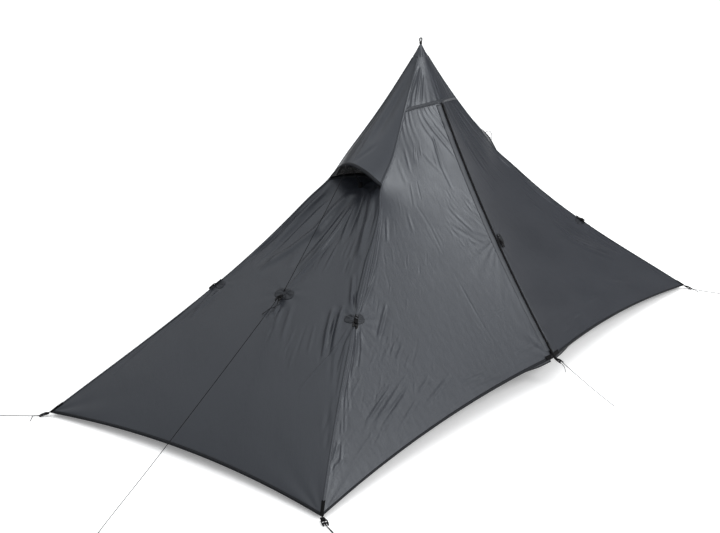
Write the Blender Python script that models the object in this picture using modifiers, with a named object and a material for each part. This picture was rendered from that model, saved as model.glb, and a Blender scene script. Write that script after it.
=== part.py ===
"""Single-pole pyramid shelter with a zipped door, vented hoods and guylines.

Metres, +Z up.  The origin is the foot of the centre pole on the ground, the long side with the
door faces -Y and the end with the guyed hood faces -X.
"""
import math

import bmesh
import bpy
from mathutils import Matrix, Vector

# ---- canopy
LENGTH = 2.80             # between the ground corners along X
WIDTH = 1.227             # between the ground corners along Y
HEIGHT = 1.237            # where the ridges would meet over the pole
CORNER_Z = 0.0139         # the corners stand a little off the ground
RIDGE_SAG = 0.3615        # catenary cut of the ridges
RIDGE_SKEW = 0.2069
RIDGE_PLAN_BOW = 0.328
SIDE_OUT = 0.652          # how far the middle of a long hem is pulled out
SIDE_EASE = 0.2
ZIP_TOP_Z = 1.022
ZIP_FOOT_Z = 0.0955
ZIP_SAGITTA = 0.025
SIDE_BOW = 0.034
HEM_RISE = 0.014
T_TOP = 0.022             # ridge fractions: where the panels start under the peak cap,
T_SEAM = 0.129            # the peak seam,
T_VENT = 0.288            # the hood rim
T_TIE = 0.597             # and the ridge tie-outs
SEAM_GAP = 0.0007
DOOR_TOP = 0.135          # the door and its flap stop short of the peak seam, to swing clear
EDGE = 0.0013             # inset of every panel from its ridge
CLOTH = 0.001

# middle line of an end panel, measured from the ridges at the sill, the tie-out and the hem
END_T = (T_VENT, 0.6, 1.0)
END_IN = (0.028, -0.004, 0.048)
END_UP = (-0.026, 0.019, 0.018)

# ---- hoods and vents
HOOD_PEAK = Vector((0.0, 0.0, 1.235))
HOOD_PULL = Vector((0.15, 0.0, 1.03))
HOOD_RIM = Vector((0.456, 0.0, 0.835))
HOOD_START = 0.089
HOOD_ROUND = 1.6
MESH_TOP_T = 0.235
STRUT_FOOT = Vector((0.381, 0.0, 0.7455))
STRUT_TIP = Vector((0.446, 0.0, 0.832))
STRUT_R = 0.0018

# ---- door and zip
TAPE_IN = 0.0006
TAPE_OUT = 0.0115
PANEL_ZIP_EDGE = 0.012
ZIP_BAND = 0.0118         # the cloth beside the middle line is flat this far out
HINGE_TOP_X = -0.030
HINGE_FOOT_X = -1.030
HINGE_GAP = 0.0025
FLAP_IN = 0.003
FLAP_OUT = 0.030
FLAP_LIFT = 0.002
FLAP_FOOT = 0.965
SLIDER_LENGTH = 0.020
UPPER_SLIDER_DROP = 0.018
LOWER_SLIDER_RISE = 0.060
PULL_PIVOT = 0.0029       # height of the pull's pivot above the zip tape
SLIDER_X = 0.005

# ---- pole
FOOT_R, FOOT_H, SOCKET_Z = 0.014, 0.030, 0.0122
LOWER_R, UPPER_R, TUBE_WALL = 0.0062, 0.0080, 0.0012
LOWER_TOP, UPPER_FOOT, UPPER_TOP = 0.740, 0.520, 1.185
SPIGOT_R, SPIGOT_TOP = 0.004, 1.222
CLAMP_LOW, CLAMP_HIGH, CLAMP_R = 0.500, 0.545, 0.012
LEVER_X = 0.018

# ---- tabs, line locks and cords
WEB_WIDTH, WEB_THICK = 0.014, 0.001
BAR = Vector((0.013, 0.0, 0.0046))   # bar centre in a tab's own frame
LOOP_R = 0.0029
SEWN = 0.022              # strap sewn back under a ridge or side tab
SEWN_SHORT = 0.0015       # and under a tab at a hem or a patch
LOCK_HALF = 0.0016
CORD_R = 0.0011
GROUND_CLEAR = 0.0003

DARK = (0.012, 0.013, 0.015)
FABRIC = (0.085, 0.092, 0.102)


# ------------------------------------------------------------------ scene and materials
def clear_scene():
    for item in list(bpy.data.objects):
        bpy.data.objects.remove(item, do_unlink=True)


def collection(name):
    made = bpy.data.collections.new(name)
    bpy.context.scene.collection.children.link(made)
    return made


clear_scene()
PARTS = collection("pyramid_shelter")
CUTTERS = collection("cutters")


def material(name, colour, roughness, metallic=0.0):
    made = bpy.data.materials.new(name)
    made.use_nodes = True
    shader = made.node_tree.nodes["Principled BSDF"]
    shader.inputs["Base Color"].default_value = (*colour, 1.0)
    shader.inputs["Roughness"].default_value = roughness
    shader.inputs["Metallic"].default_value = metallic
    return made


def add_object(name, data, colour, roughness=0.6, metallic=0.0):
    made = bpy.data.objects.new(name, data)
    PARTS.objects.link(made)
    finish = material(name, colour, roughness, metallic)
    if not data.materials:
        data.materials.append(None)
    made.material_slots[0].link = "OBJECT"
    made.material_slots[0].material = finish
    return made


def frame_matrix(origin, along, outward):
    """Frame with local X along, local Z as near outward as it can be."""
    x = Vector(along).normalized()
    y = Vector(outward).cross(x).normalized()
    z = x.cross(y)
    turned = Matrix((x, y, z)).transposed().to_4x4()
    return Matrix.Translation(Vector(origin)) @ turned


# ------------------------------------------------------------------ shape of the canopy
def mix(a, b, f):
    return a + (b - a) * f


def ridge(t, sx, sy):
    """Corner ridge from the peak, t = 0, to the ground corner, t = 1."""
    sag = t * (1 - t) * (RIDGE_SAG + RIDGE_SKEW * (1 - 2 * t))
    out = t - RIDGE_PLAN_BOW * t * (1 - t)
    return Vector((sx * LENGTH / 2 * t, sy * WIDTH / 2 * out, CORNER_Z * t + HEIGHT * (1 - t - sag)))


def side_out(t):
    """Distance of a long side's middle line from the pole."""
    return SIDE_OUT * (t + SIDE_EASE * t * (1 - t))


def zip_arc():
    """Centre (distance out, height) and radius of the zip's arc, which bows inward."""
    top = Vector((side_out(T_SEAM), ZIP_TOP_Z))
    foot = Vector((side_out(1.0), ZIP_FOOT_Z))
    chord = (foot - top).length
    radius = chord ** 2 / (8 * ZIP_SAGITTA) + ZIP_SAGITTA / 2
    outward = Vector((top.y - foot.y, foot.x - top.x)).normalized()
    return (top + foot) / 2 + outward * (radius - ZIP_SAGITTA), radius


ARC_CENTRE, ARC_R = zip_arc()


def side_middle(t, sy):
    """Middle line of a long side: straight to the peak seam, then along the zip's arc."""
    out = side_out(t)
    if t < T_SEAM:
        z = mix(HEIGHT, ZIP_TOP_Z, out / side_out(T_SEAM))
    else:
        z = ARC_CENTRE.y - math.sqrt(ARC_R ** 2 - (out - ARC_CENTRE.x) ** 2)
    return Vector((0.0, sy * out, z))


def share_of(distance, t):
    """The part of the way to the ridge that a distance from the middle line is."""
    return distance / (LENGTH / 2 * t)


def side_surface(t, a, sx, sy):
    """Long side: a = 0 on the middle line, a = 1 on the ridge, flat beside the middle line."""
    band = share_of(ZIP_BAND, t)
    f = max(0.0, (a - band) / (1 - band))
    beside = Vector((sx * LENGTH / 2 * t * min(a, band), 0.0, 0.0))
    point = mix(side_middle(t, sy) + beside, ridge(t, sx, sy), f)
    bulge = 4 * f * (1 - f)
    point.y -= sy * SIDE_BOW * t * bulge
    point.z += HEM_RISE * t ** 8 * bulge
    return point


def peak_surface(t, s, sy):
    """Peak panel over a long side, s from -1 to 1 between its two ridges."""
    edge, middle = ridge(t, 1, sy), side_middle(t, sy)
    f = abs(s) ** HOOD_ROUND
    return Vector((edge.x * s, mix(middle.y, edge.y, f), mix(middle.z, edge.z, f)))


def through_three(t, values):
    """The parabola through three values at END_T."""
    total = 0.0
    for i, value in enumerate(values):
        term = value
        for j, other in enumerate(END_T):
            if j != i:
                term *= (t - other) / (END_T[i] - other)
        total += term
    return total


def end_surface(t, s, sx):
    """End panel below the vent sill, s from -1 to 1 between its ridges."""
    edge = ridge(t, sx, 1)
    lift = 1 - s * s
    return Vector((edge.x - sx * lift * through_three(t, END_IN), edge.y * s,
                   edge.z + lift * through_three(t, END_UP)))


def hood_surface(t, s, sx):
    """Hood over a vent, from the peak to its rim at T_VENT."""
    b = mix(HOOD_START, 1.0, (t - T_TOP) / (T_VENT - T_TOP))
    middle = HOOD_PEAK * (1 - b) ** 2 + HOOD_PULL * 2 * b * (1 - b) + HOOD_RIM * b * b
    edge = ridge(t, sx, 1)
    f = 1 - abs(s) ** HOOD_ROUND
    return Vector((edge.x + (sx * middle.x - edge.x) * f, edge.y * s, mix(edge.z, middle.z, f)))


def hinge_share(t):
    """Where the door's hinge line crosses the left half of the front side."""
    x = mix(HINGE_TOP_X, HINGE_FOOT_X, (t - T_SEAM) / (1 - T_SEAM))
    return share_of(-x, t)


def ridge_inset(t, sy):
    return 1 - EDGE / (ridge(t, 1, sy) - side_middle(t, sy)).length


def across_inset(t):
    return 1 - EDGE / ridge(t, 1, 1).y


# ------------------------------------------------------------------ makers
def sheet_object(name, surface, rows, columns, colour=FABRIC, thick=CLOTH, lift=0.0):
    """Closed sheet from surface(u, v) with u, v in 0..1, thickened away from the outside."""
    mesh = bpy.data.meshes.new(name)
    bm = bmesh.new()
    bmesh.ops.create_grid(bm, x_segments=columns, y_segments=rows, size=0.5)
    for vert in bm.verts:
        u, v = vert.co.x + 0.5, vert.co.y + 0.5
        vert.co = surface(u, v)
    bm.normal_update()
    facing = sum(f.normal.dot(Vector((c.x, c.y, 0.0))) for f in bm.faces
                 for c in [f.calc_center_median()])
    if facing < 0:
        bmesh.ops.reverse_faces(bm, faces=bm.faces)
        bm.normal_update()
    if lift:
        moves = [(vert, vert.normal * lift) for vert in bm.verts]
        for vert, move in moves:
            vert.co += move
    bm.to_mesh(mesh)
    bm.free()
    made = add_object(name, mesh, colour, 0.55)
    made.data.shade_smooth()
    wall = made.modifiers.new("cloth thickness", "SOLIDIFY")
    wall.thickness = thick
    wall.offset = -1.0
    return made


def turned_object(name, profile, colour, roughness, metallic, closed=False, steps=24):
    """Screw a profile, given as (radius, height) pairs, round the Z axis."""
    mesh = bpy.data.meshes.new(name)
    count = len(profile)
    edges = [(i, (i + 1) % count) for i in range(count if closed else count - 1)]
    mesh.from_pydata([(r, 0.0, z) for r, z in profile], edges, [])
    made = add_object(name, mesh, colour, roughness, metallic)
    screw = made.modifiers.new("turn", "SCREW")
    screw.steps = steps
    screw.render_steps = steps
    screw.use_merge_vertices = True
    screw.merge_threshold = 0.00005
    return made


def outline_mesh(name, loops, half_thickness):
    """Flat plate from closed outlines (the first outside, the rest holes), as a welded mesh."""
    curve = bpy.data.curves.new(name, "CURVE")
    curve.dimensions = "2D"
    curve.fill_mode = "BOTH"
    curve.extrude = half_thickness
    for loop in loops:
        spline = curve.splines.new("POLY")
        spline.points.add(len(loop) - 1)
        for point, (x, y) in zip(spline.points, loop):
            point.co = (x, y, 0.0, 1.0)
        spline.use_cyclic_u = True
    holder = bpy.data.objects.new(name, curve)
    CUTTERS.objects.link(holder)
    graph = bpy.context.evaluated_depsgraph_get()
    mesh = bpy.data.meshes.new_from_object(holder.evaluated_get(graph))
    bm = bmesh.new()
    bm.from_mesh(mesh)
    bmesh.ops.remove_doubles(bm, verts=bm.verts, dist=0.00001)
    bm.to_mesh(mesh)
    bm.free()
    bpy.data.objects.remove(holder, do_unlink=True)
    mesh.name = name
    return mesh


def box_mesh(name, low, high):
    low, high = Vector(low), Vector(high)
    mesh = bpy.data.meshes.new(name)
    bm = bmesh.new()
    size = high - low
    place = Matrix.Translation((low + high) / 2) @ Matrix.Diagonal((*size, 1.0))
    bmesh.ops.create_cube(bm, size=1.0, matrix=place)
    bm.to_mesh(mesh)
    bm.free()
    return mesh


def cylinder_mesh(name, radius, low, high):
    mesh = bpy.data.meshes.new(name)
    bm = bmesh.new()
    place = Matrix.Translation((0.0, 0.0, (low + high) / 2))
    bmesh.ops.create_cone(bm, cap_ends=True, segments=20, radius1=radius, radius2=radius,
                          depth=high - low, matrix=place)
    bm.to_mesh(mesh)
    bm.free()
    return mesh


def join_on(base, mesh):
    """Union a helper mesh, given in the base's own frame, onto the base."""
    helper = bpy.data.objects.new(mesh.name, mesh)
    CUTTERS.objects.link(helper)
    helper.matrix_world = base.matrix_world
    helper.hide_render = True
    helper.display_type = "WIRE"
    union = base.modifiers.new("join " + mesh.name, "BOOLEAN")
    union.operation = "UNION"
    union.solver = "EXACT"
    union.object = helper


def smooth_route(points, step=0.007, most=5):
    """Points along a Catmull-Rom curve through the given points."""
    points = [Vector(p) for p in points]
    padded = [points[0] * 2 - points[1]] + points + [points[-1] * 2 - points[-2]]
    route = []
    for i in range(1, len(padded) - 2):
        p0, p1, p2, p3 = padded[i - 1:i + 3]
        k0 = (p1 - p0).length ** 0.5
        k1 = (p2 - p1).length ** 0.5
        k2 = (p3 - p2).length ** 0.5
        m1 = ((p1 - p0) / k0 - (p2 - p0) / (k0 + k1) + (p2 - p1) / k1) * k1
        m2 = ((p2 - p1) / k1 - (p3 - p1) / (k1 + k2) + (p3 - p2) / k2) * k1
        parts = min(most, max(1, math.ceil((p2 - p1).length / step)))
        for j in range(parts):
            f = j / parts
            route.append(p1 * (2 * f ** 3 - 3 * f ** 2 + 1) + m1 * (f ** 3 - 2 * f ** 2 + f)
                         + p2 * (3 * f ** 2 - 2 * f ** 3) + m2 * (f ** 3 - f ** 2))
    return route + [points[-1]]


def tube_object(name, route, radius, colour, roughness=0.7, cyclic=False, radii=None, origin=None):
    """Round tube along a route, with filled ends; radii scale it point by point."""
    curve = bpy.data.curves.new(name, "CURVE")
    curve.dimensions = "3D"
    curve.bevel_depth = radius
    curve.bevel_resolution = 2
    curve.use_fill_caps = not cyclic
    spline = curve.splines.new("POLY")
    spline.points.add(len(route) - 1)
    for i, (point, place) in enumerate(zip(spline.points, route)):
        point.co = (*place, 1.0)
        point.radius = radii[i] if radii else 1.0
    spline.use_cyclic_u = cyclic
    made = add_object(name, curve, colour, roughness)
    if origin is not None:
        made.location = origin
    return made


# ------------------------------------------------------------------ fabric panels
def make_panels():
    for sy, side in ((-1, "front"), (1, "rear")):
        def peak(u, v, sy=sy):
            t = mix(T_TOP, T_SEAM - SEAM_GAP, v)
            return peak_surface(t, mix(-1, 1, u) * ridge_inset(t, sy), sy)
        sheet_object(side + "_peak_panel", peak, 5, 10)

    for sx, end in ((-1, "left"), (1, "right")):
        def rear(u, v, sx=sx):
            t = mix(T_SEAM + SEAM_GAP, 1.0, v)
            return side_surface(t, mix(share_of(SEAM_GAP, t), ridge_inset(t, 1), u), sx, 1)

        def end_wall(u, v, sx=sx):
            t = mix(T_VENT + SEAM_GAP, 1.0, v)
            return end_surface(t, mix(-1, 1, u) * across_inset(t), sx)

        def hood(u, v, sx=sx):
            t = mix(T_TOP, T_VENT - SEAM_GAP, v)
            return hood_surface(t, mix(-1, 1, u) * across_inset(t), sx)
        sheet_object("rear_" + end + "_panel", rear, 12, 7)
        sheet_object(end + "_end_panel", end_wall, 12, 10)
        sheet_object(end + "_hood", hood, 8, 10)
        make_vent(sx, end)

    def front_right(u, v):
        t = mix(T_SEAM + SEAM_GAP, 1.0, v)
        return side_surface(t, mix(share_of(PANEL_ZIP_EDGE, t), ridge_inset(t, -1), u), 1, -1)

    def front_left(u, v):
        t = mix(T_SEAM + SEAM_GAP, 1.0, v)
        start = hinge_share(t) + share_of(HINGE_GAP / 2, t)
        return side_surface(t, mix(start, ridge_inset(t, -1), u), -1, -1)

    def door(u, v):
        t = mix(DOOR_TOP, 1.0, v)
        stop = hinge_share(t) - share_of(HINGE_GAP / 2, t)
        return side_surface(t, mix(share_of(PANEL_ZIP_EDGE, t), stop, u), -1, -1)
    sheet_object("front_right_panel", front_right, 12, 7)
    sheet_object("front_left_panel", front_left, 12, 4)
    sheet_object("door_panel", door, 12, 6)


def make_vent(sx, end):
    """Mesh from the sill up to the hood, and the short strut that props the hood open."""
    def mesh_wall(u, v):
        s = mix(-0.92, 0.92, u)
        low = end_surface(T_VENT + SEAM_GAP, s, sx) + Vector((-sx * 0.004, 0.0, -0.001))
        high = hood_surface(MESH_TOP_T, s * 0.95, sx) - Vector((0.0, 0.0, 0.004))
        return mix(low, high, v)
    sheet_object(end + "_vent_mesh", mesh_wall, 3, 8, DARK)

    reach = Vector((sx * (STRUT_TIP.x - STRUT_FOOT.x), 0.0, STRUT_TIP.z - STRUT_FOOT.z))
    stations = (0.0, 0.25, 0.5, 0.75, 0.93, 0.96, 1.0)
    swell = (1.2, 1.0, 1.0, 1.0, 1.1, 2.6, 2.6)
    tube_object(end + "_hood_strut", [reach * f for f in stations], STRUT_R, DARK,
                radii=swell, origin=Vector((sx * STRUT_FOOT.x, 0.0, STRUT_FOOT.z)))


# ------------------------------------------------------------------ door edge and zip
def arc_angle(out):
    """Angle on the zip's arc at a distance out from the pole."""
    return math.asin((out - ARC_CENTRE.x) / ARC_R)


def zip_frame(along, x=0.0, lift=0.0):
    """Frame on the zip, along metres down from its top: X right, Y up the zip, Z outward."""
    angle = arc_angle(side_out(T_SEAM)) + along / ARC_R
    radial = Vector((0.0, -math.sin(angle), -math.cos(angle)))
    centre = Vector((0.0, -ARC_CENTRE.x, ARC_CENTRE.y))
    origin = centre + radial * (ARC_R - lift) + Vector((x, 0.0, 0.0))
    turned = Matrix((Vector((1, 0, 0)), -radial.cross(Vector((1, 0, 0))), -radial)).transposed()
    return Matrix.Translation(origin) @ turned.to_4x4()


ZIP_LENGTH = ARC_R * (arc_angle(side_out(1.0)) - arc_angle(side_out(T_SEAM)))


def make_zip():
    for sx, side in ((-1, "left"), (1, "right")):
        def tape(u, v, sx=sx):
            place = zip_frame(mix(0.0015, ZIP_LENGTH, v))
            return place @ Vector((sx * mix(TAPE_IN, TAPE_OUT, u), 0.0, 0.0))
        sheet_object("zip_tape_" + side, tape, 22, 1, DARK)

    def flap(u, v):
        t = mix(DOOR_TOP, FLAP_FOOT, v)
        return side_surface(t, mix(share_of(FLAP_IN, t), share_of(FLAP_OUT, t), u), -1, -1)
    sheet_object("storm_flap", flap, 16, 3, FABRIC, CLOTH, FLAP_LIFT + CLOTH)

    # the slider wraps the right tape: its neck runs in the gap between the two tapes
    neck, reach = 0.0003, 0.0105 - SLIDER_X
    left, inner = -SLIDER_X - neck, -SLIDER_X + neck
    section = [(left, -0.00285), (reach, -0.00285), (reach, -0.00135), (inner, -0.00135),
               (inner, 0.00035), (reach, 0.00035), (reach, 0.00185), (left, 0.00185)]
    clip = outline_mesh("slider section", [section], SLIDER_LENGTH / 2)
    clip.transform(Matrix.Rotation(math.pi / 2, 4, "X"))
    arch = outline_mesh("slider arch", [[(-0.0055, 0.0015), (0.0055, 0.0015), (0.0055, 0.0042),
                                         (0.0042, 0.0052), (-0.0042, 0.0052), (-0.0055, 0.0042)],
                                        [(-0.0040, 0.0020), (0.0040, 0.0020), (0.0040, 0.0037),
                                         (-0.0040, 0.0037)]], 0.0010)
    arch.transform(Matrix.Rotation(math.pi / 2, 4, "Y") @ Matrix.Rotation(math.pi / 2, 4, "Z"))
    pull = outline_mesh("zip pull", [[(-0.0040, -0.0330), (0.0040, -0.0330), (0.0040, 0.0006),
                                      (-0.0040, 0.0006)],
                                     [(-0.0024, -0.0072), (0.0024, -0.0072), (0.0024, -0.0006),
                                      (-0.0024, -0.0006)]], 0.0006)
    for name, along in (("upper", UPPER_SLIDER_DROP), ("lower", ZIP_LENGTH - LOWER_SLIDER_RISE)):
        slider = add_object(name + "_zip_slider", clip.copy(), DARK, 0.35, 0.6)
        slider.matrix_world = zip_frame(along, SLIDER_X)
        join_on(slider, arch.copy())
        hanger = add_object(name + "_zip_pull", pull.copy(), DARK, 0.4)
        hanger.matrix_world = zip_frame(along, SLIDER_X, PULL_PIVOT)

    base = ZIP_LENGTH
    hook = outline_mesh("door hook", [[(-0.024, 0.002), (-0.006, 0.002), (-0.006, 0.0065),
                                       (0.0035, 0.0065), (0.0055, 0.005), (0.005, 0.0025),
                                       (0.008, 0.003), (0.009, 0.006), (0.006, 0.009),
                                       (-0.006, 0.011), (-0.024, 0.011)]], 0.0006)
    add_object("door_hook", hook, DARK, 0.4).matrix_world = zip_frame(base, 0.0, 0.0029)
    ring = [[(0.009 + r * math.cos(a * math.pi / 8), 0.006 + r * math.sin(a * math.pi / 8))
             for a in range(16)] for r in (0.006, 0.0036)]
    loop = outline_mesh("door ring", ring, 0.0006)
    add_object("door_ring", loop, DARK, 0.4).matrix_world = zip_frame(base, 0.0, 0.0012)


# ------------------------------------------------------------------ pole and peak
def make_pole():
    steel, black = (0.55, 0.56, 0.58), (0.02, 0.02, 0.022)
    turned_object("pole_foot", [(0.0, SOCKET_Z), (0.0065, SOCKET_Z), (0.0065, FOOT_H),
                                (0.010, FOOT_H), (FOOT_R, 0.006), (FOOT_R, 0.0), (0.0, 0.0)],
                  black, 0.8, 0.0)
    bore = LOWER_R - 0.001
    turned_object("pole_lower_tube", [(LOWER_R, LOWER_TOP), (LOWER_R, SOCKET_Z + 0.0004),
                                      (bore, SOCKET_Z + 0.0004), (bore, LOWER_TOP)],
                  steel, 0.35, 0.9, closed=True)
    bore = UPPER_R - TUBE_WALL
    turned_object("pole_upper_tube", [(0.0, SPIGOT_TOP), (SPIGOT_R, SPIGOT_TOP),
                                      (SPIGOT_R, UPPER_TOP), (UPPER_R, UPPER_TOP),
                                      (UPPER_R, UPPER_FOOT), (bore, UPPER_FOOT),
                                      (bore, UPPER_TOP - 0.005), (0.0, UPPER_TOP - 0.005)],
                  steel, 0.35, 0.9)
    ledge = UPPER_FOOT - 0.001
    clamp = turned_object("pole_clamp", [(CLAMP_R, CLAMP_HIGH), (CLAMP_R, CLAMP_LOW),
                                         (LOWER_R + 0.0004, CLAMP_LOW),
                                         (LOWER_R + 0.0004, ledge), (UPPER_R + 0.0004, ledge),
                                         (UPPER_R + 0.0004, CLAMP_HIGH)],
                          black, 0.45, 0.0, closed=True)
    lug = 0.008
    for low in (CLAMP_LOW, CLAMP_HIGH - lug):
        join_on(clamp, box_mesh("clamp lug %.3f" % low, (0.010, -0.004, low),
                                (LEVER_X + 0.0035, 0.004, low + lug)))
    hub_low, hub_high = CLAMP_LOW + lug + 0.0005, CLAMP_HIGH - lug - 0.0005
    hub = cylinder_mesh("pole_clamp_lever", 0.0035, hub_low, hub_high)
    lever = add_object("pole_clamp_lever", hub, black, 0.45)
    lever.location = (LEVER_X, 0.0, 0.0)
    bpy.context.view_layer.update()
    join_on(lever, box_mesh("lever arm", (-0.0025, -0.045, hub_low + 0.003),
                            (0.0015, 0.0, hub_high - 0.003)))


def make_peak():
    mesh = bpy.data.meshes.new("peak_cap")
    bm = bmesh.new()
    low, high = 1.2010, 1.2340
    bmesh.ops.create_cone(bm, cap_ends=True, segments=24, radius1=0.029, radius2=0.0045,
                          depth=high - low, matrix=Matrix.Translation((0, 0, (low + high) / 2)))
    under = [f for f in bm.faces if f.normal.z < -0.9]
    bmesh.ops.delete(bm, geom=under, context="FACES_ONLY")
    bmesh.ops.scale(bm, vec=(1.0, 0.62, 1.0), verts=bm.verts)
    bm.to_mesh(mesh)
    bm.free()
    cap = add_object("peak_cap", mesh, DARK, 0.5)
    wall = cap.modifiers.new("cloth thickness", "SOLIDIFY")
    wall.thickness = CLOTH
    wall.offset = -1.0
    loop = [Vector((0.006 * math.sin(a), 0.0, 1.2466 - 0.0105 * math.cos(a)))
            for a in (i * math.pi / 9 for i in range(18))]
    tube_object("peak_loop", loop, 0.0013, DARK, cyclic=True)


# ------------------------------------------------------------------ tabs, locks and cords
def tab_mesh(sewn):
    """Webbing strap folded round the lock's bar, in the tab's own frame."""
    path = [(-sewn, 0.0010), (0.0080, 0.0010)]
    for i in range(11):
        angle = math.radians(mix(-120, 120, i / 10))
        path.append((BAR.x + LOOP_R * math.cos(angle), BAR.z + LOOP_R * math.sin(angle)))
    path += [(0.0070, 0.0052), (0.0010, 0.0026), (-sewn, 0.0025)]
    mesh = bpy.data.meshes.new("tab")
    bm = bmesh.new()
    rails = [[bm.verts.new((u, side * WEB_WIDTH / 2, v)) for u, v in path] for side in (-1, 1)]
    for i in range(len(path) - 1):
        bm.faces.new((rails[0][i], rails[0][i + 1], rails[1][i + 1], rails[1][i]))
    bm.to_mesh(mesh)
    bm.free()
    return mesh


def lock_mesh():
    """Two-pronged line lock with its bar centre at the origin, prongs towards +X."""
    mm = 0.001
    outer = [(-1.3, -11), (12.5, -11), (21, -9.5), (21, -5.8), (12.5, -4.5), (12.5, 4.5),
             (21, 5.8), (21, 9.5), (12.5, 11), (-1.3, 11)]
    slot = [(1.3, -8), (8, -8), (8, 8), (1.3, 8)]
    loops = [[(x * mm, y * mm) for x, y in loop] for loop in (outer, slot)]
    return outline_mesh("line lock", loops, LOCK_HALF)


def corner_frame(sx, sy, heading):
    """Tab at a ground corner: it slopes down so that the lock's prongs touch the ground."""
    level = Vector((*heading, 0.0)).normalized()
    slope = math.radians(21.6)
    down = level * math.cos(slope) - Vector((0, 0, math.sin(slope)))
    origin = ridge(1.0, sx, sy) + level * 0.003 - Vector((0, 0, 0.0040))
    return frame_matrix(origin, down, (0, 0, 1))


def ridge_frame(sx, sy):
    """Tab along a ridge at its tie-out, square to the two panels beside it."""
    here = ridge(T_TIE, sx, sy)
    down = ridge(T_TIE + 0.01, sx, sy) - here
    side = side_surface(T_TIE, 0.97, sx, sy) - here
    end = end_surface(T_TIE, 0.95 * sy, sx) - here
    outward = -(side.normalized() + end.normalized())
    return frame_matrix(here, down, outward)


def door_side_frame():
    """Tab beside the middle of the zip, on the fixed half of the front."""
    x, t = 0.0245, 0.527
    here = side_surface(t, share_of(x, t), 1, -1)
    down = side_surface(t + 0.02, share_of(x, t + 0.02), 1, -1) - here
    across = side_surface(t, share_of(x, t) + 0.05, 1, -1) - here
    outward = down.cross(across).normalized()
    return frame_matrix(here + outward * 0.001, down, outward)


CORNERS = {
    "rear_left": (-1, 1, (-0.66, 0.75)),
    "front_left": (-1, -1, (-0.50, -0.86)),
    "front_right": (1, -1, (0.15, -0.99)),
    "rear_right": (1, 1, (0.66, 0.75)),
}
END_TIE = Vector((-0.8445, 0.0, 0.4345))
END_PEG = Vector((-1.868, -0.146, CORD_R))
DOOR_TIE = Vector((0.006, -0.6560, 0.0880))
DOOR_PEG = Vector((-0.082, -0.950, CORD_R))


def tie_out_frames():
    """Every tab's frame by name, and how far its strap is sewn back."""
    frames = {}
    for name, (sx, sy, heading) in CORNERS.items():
        frames[name + "_corner"] = (corner_frame(sx, sy, heading), SEWN_SHORT)
        frames[name + "_ridge"] = (ridge_frame(sx, sy), SEWN)
    frames["door_stake"] = (frame_matrix(DOOR_TIE, DOOR_PEG - DOOR_TIE, (0, -0.2, 1)),
                            SEWN_SHORT)
    frames["left_end"] = (frame_matrix(END_TIE, END_PEG - END_TIE, (-0.6, 0, 0.8)),
                          SEWN_SHORT)
    frames["door_side"] = (door_side_frame(), SEWN)
    return frames


# cord round the lock's cross bar, in the lock's own frame, from the tail to the taut run
WRAP = [(0.0125, -0.0033), (0.0095, -0.0033), (0.0076, -0.0030), (0.0066, -0.0023),
        (0.0061, -0.0009), (0.0061, 0.0009), (0.0066, 0.0023), (0.0076, 0.0030),
        (0.0095, 0.0033), (0.0125, 0.0033)]


def above_ground(point):
    return Vector((point.x, point.y, max(point.z, CORD_R + GROUND_CLEAR)))


def peg_loop(end, heading):
    """Small open loop for a peg, at the far end of a guyline, lying on the ground."""
    along = Vector((heading.x, heading.y, 0.0)).normalized()
    side = Vector((-along.y, along.x, 0.0))
    shape = ((0.000, 0.0), (0.006, 0.0040), (0.015, 0.0072), (0.024, 0.0045), (0.027, -0.0015),
             (0.023, -0.0065), (0.013, -0.0070), (0.003, -0.0042), (-0.007, -0.0040))
    return [above_ground(Vector((end.x, end.y, 0.0)) + along * u + side * v) for u, v in shape]


def guyline(name, tab, tail, peg, sag=0.003, looped=True):
    """Cord from its tail, round the lock and taut to the peg loop or to a cut end."""
    lock = tab @ Matrix.Translation(BAR)
    points = [above_ground(Vector(p)) for p in tail]
    points += [above_ground(lock @ Vector((u, 0.0, v))) for u, v in WRAP]
    start = lock @ Vector((0.022, 0.0, 0.0030))
    heading = peg - start
    for i in range(4):
        f = i / 4
        drop = Vector((0.0, 0.0, 4 * f * (1 - f) * sag))
        points.append(above_ground(mix(start, peg, f) - drop))
    points += peg_loop(peg, heading) if looped else [above_ground(peg)]
    tube_object(name, smooth_route(points), CORD_R, DARK)


def make_tie_outs():
    lock_shape = lock_mesh()
    shapes = {SEWN: tab_mesh(SEWN), SEWN_SHORT: tab_mesh(SEWN_SHORT)}
    frames = tie_out_frames()
    for name, (frame, sewn) in frames.items():
        tab = add_object(name + "_tab", shapes[sewn], DARK, 0.75)
        tab.matrix_world = frame
        strap = tab.modifiers.new("webbing", "SOLIDIFY")
        strap.thickness = WEB_THICK
        strap.offset = 0.0
        lock = add_object(name + "_lock", lock_shape, DARK, 0.4)
        lock.matrix_world = frame @ Matrix.Translation(BAR)
    make_cords({name: frame for name, (frame, sewn) in frames.items()})


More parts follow.
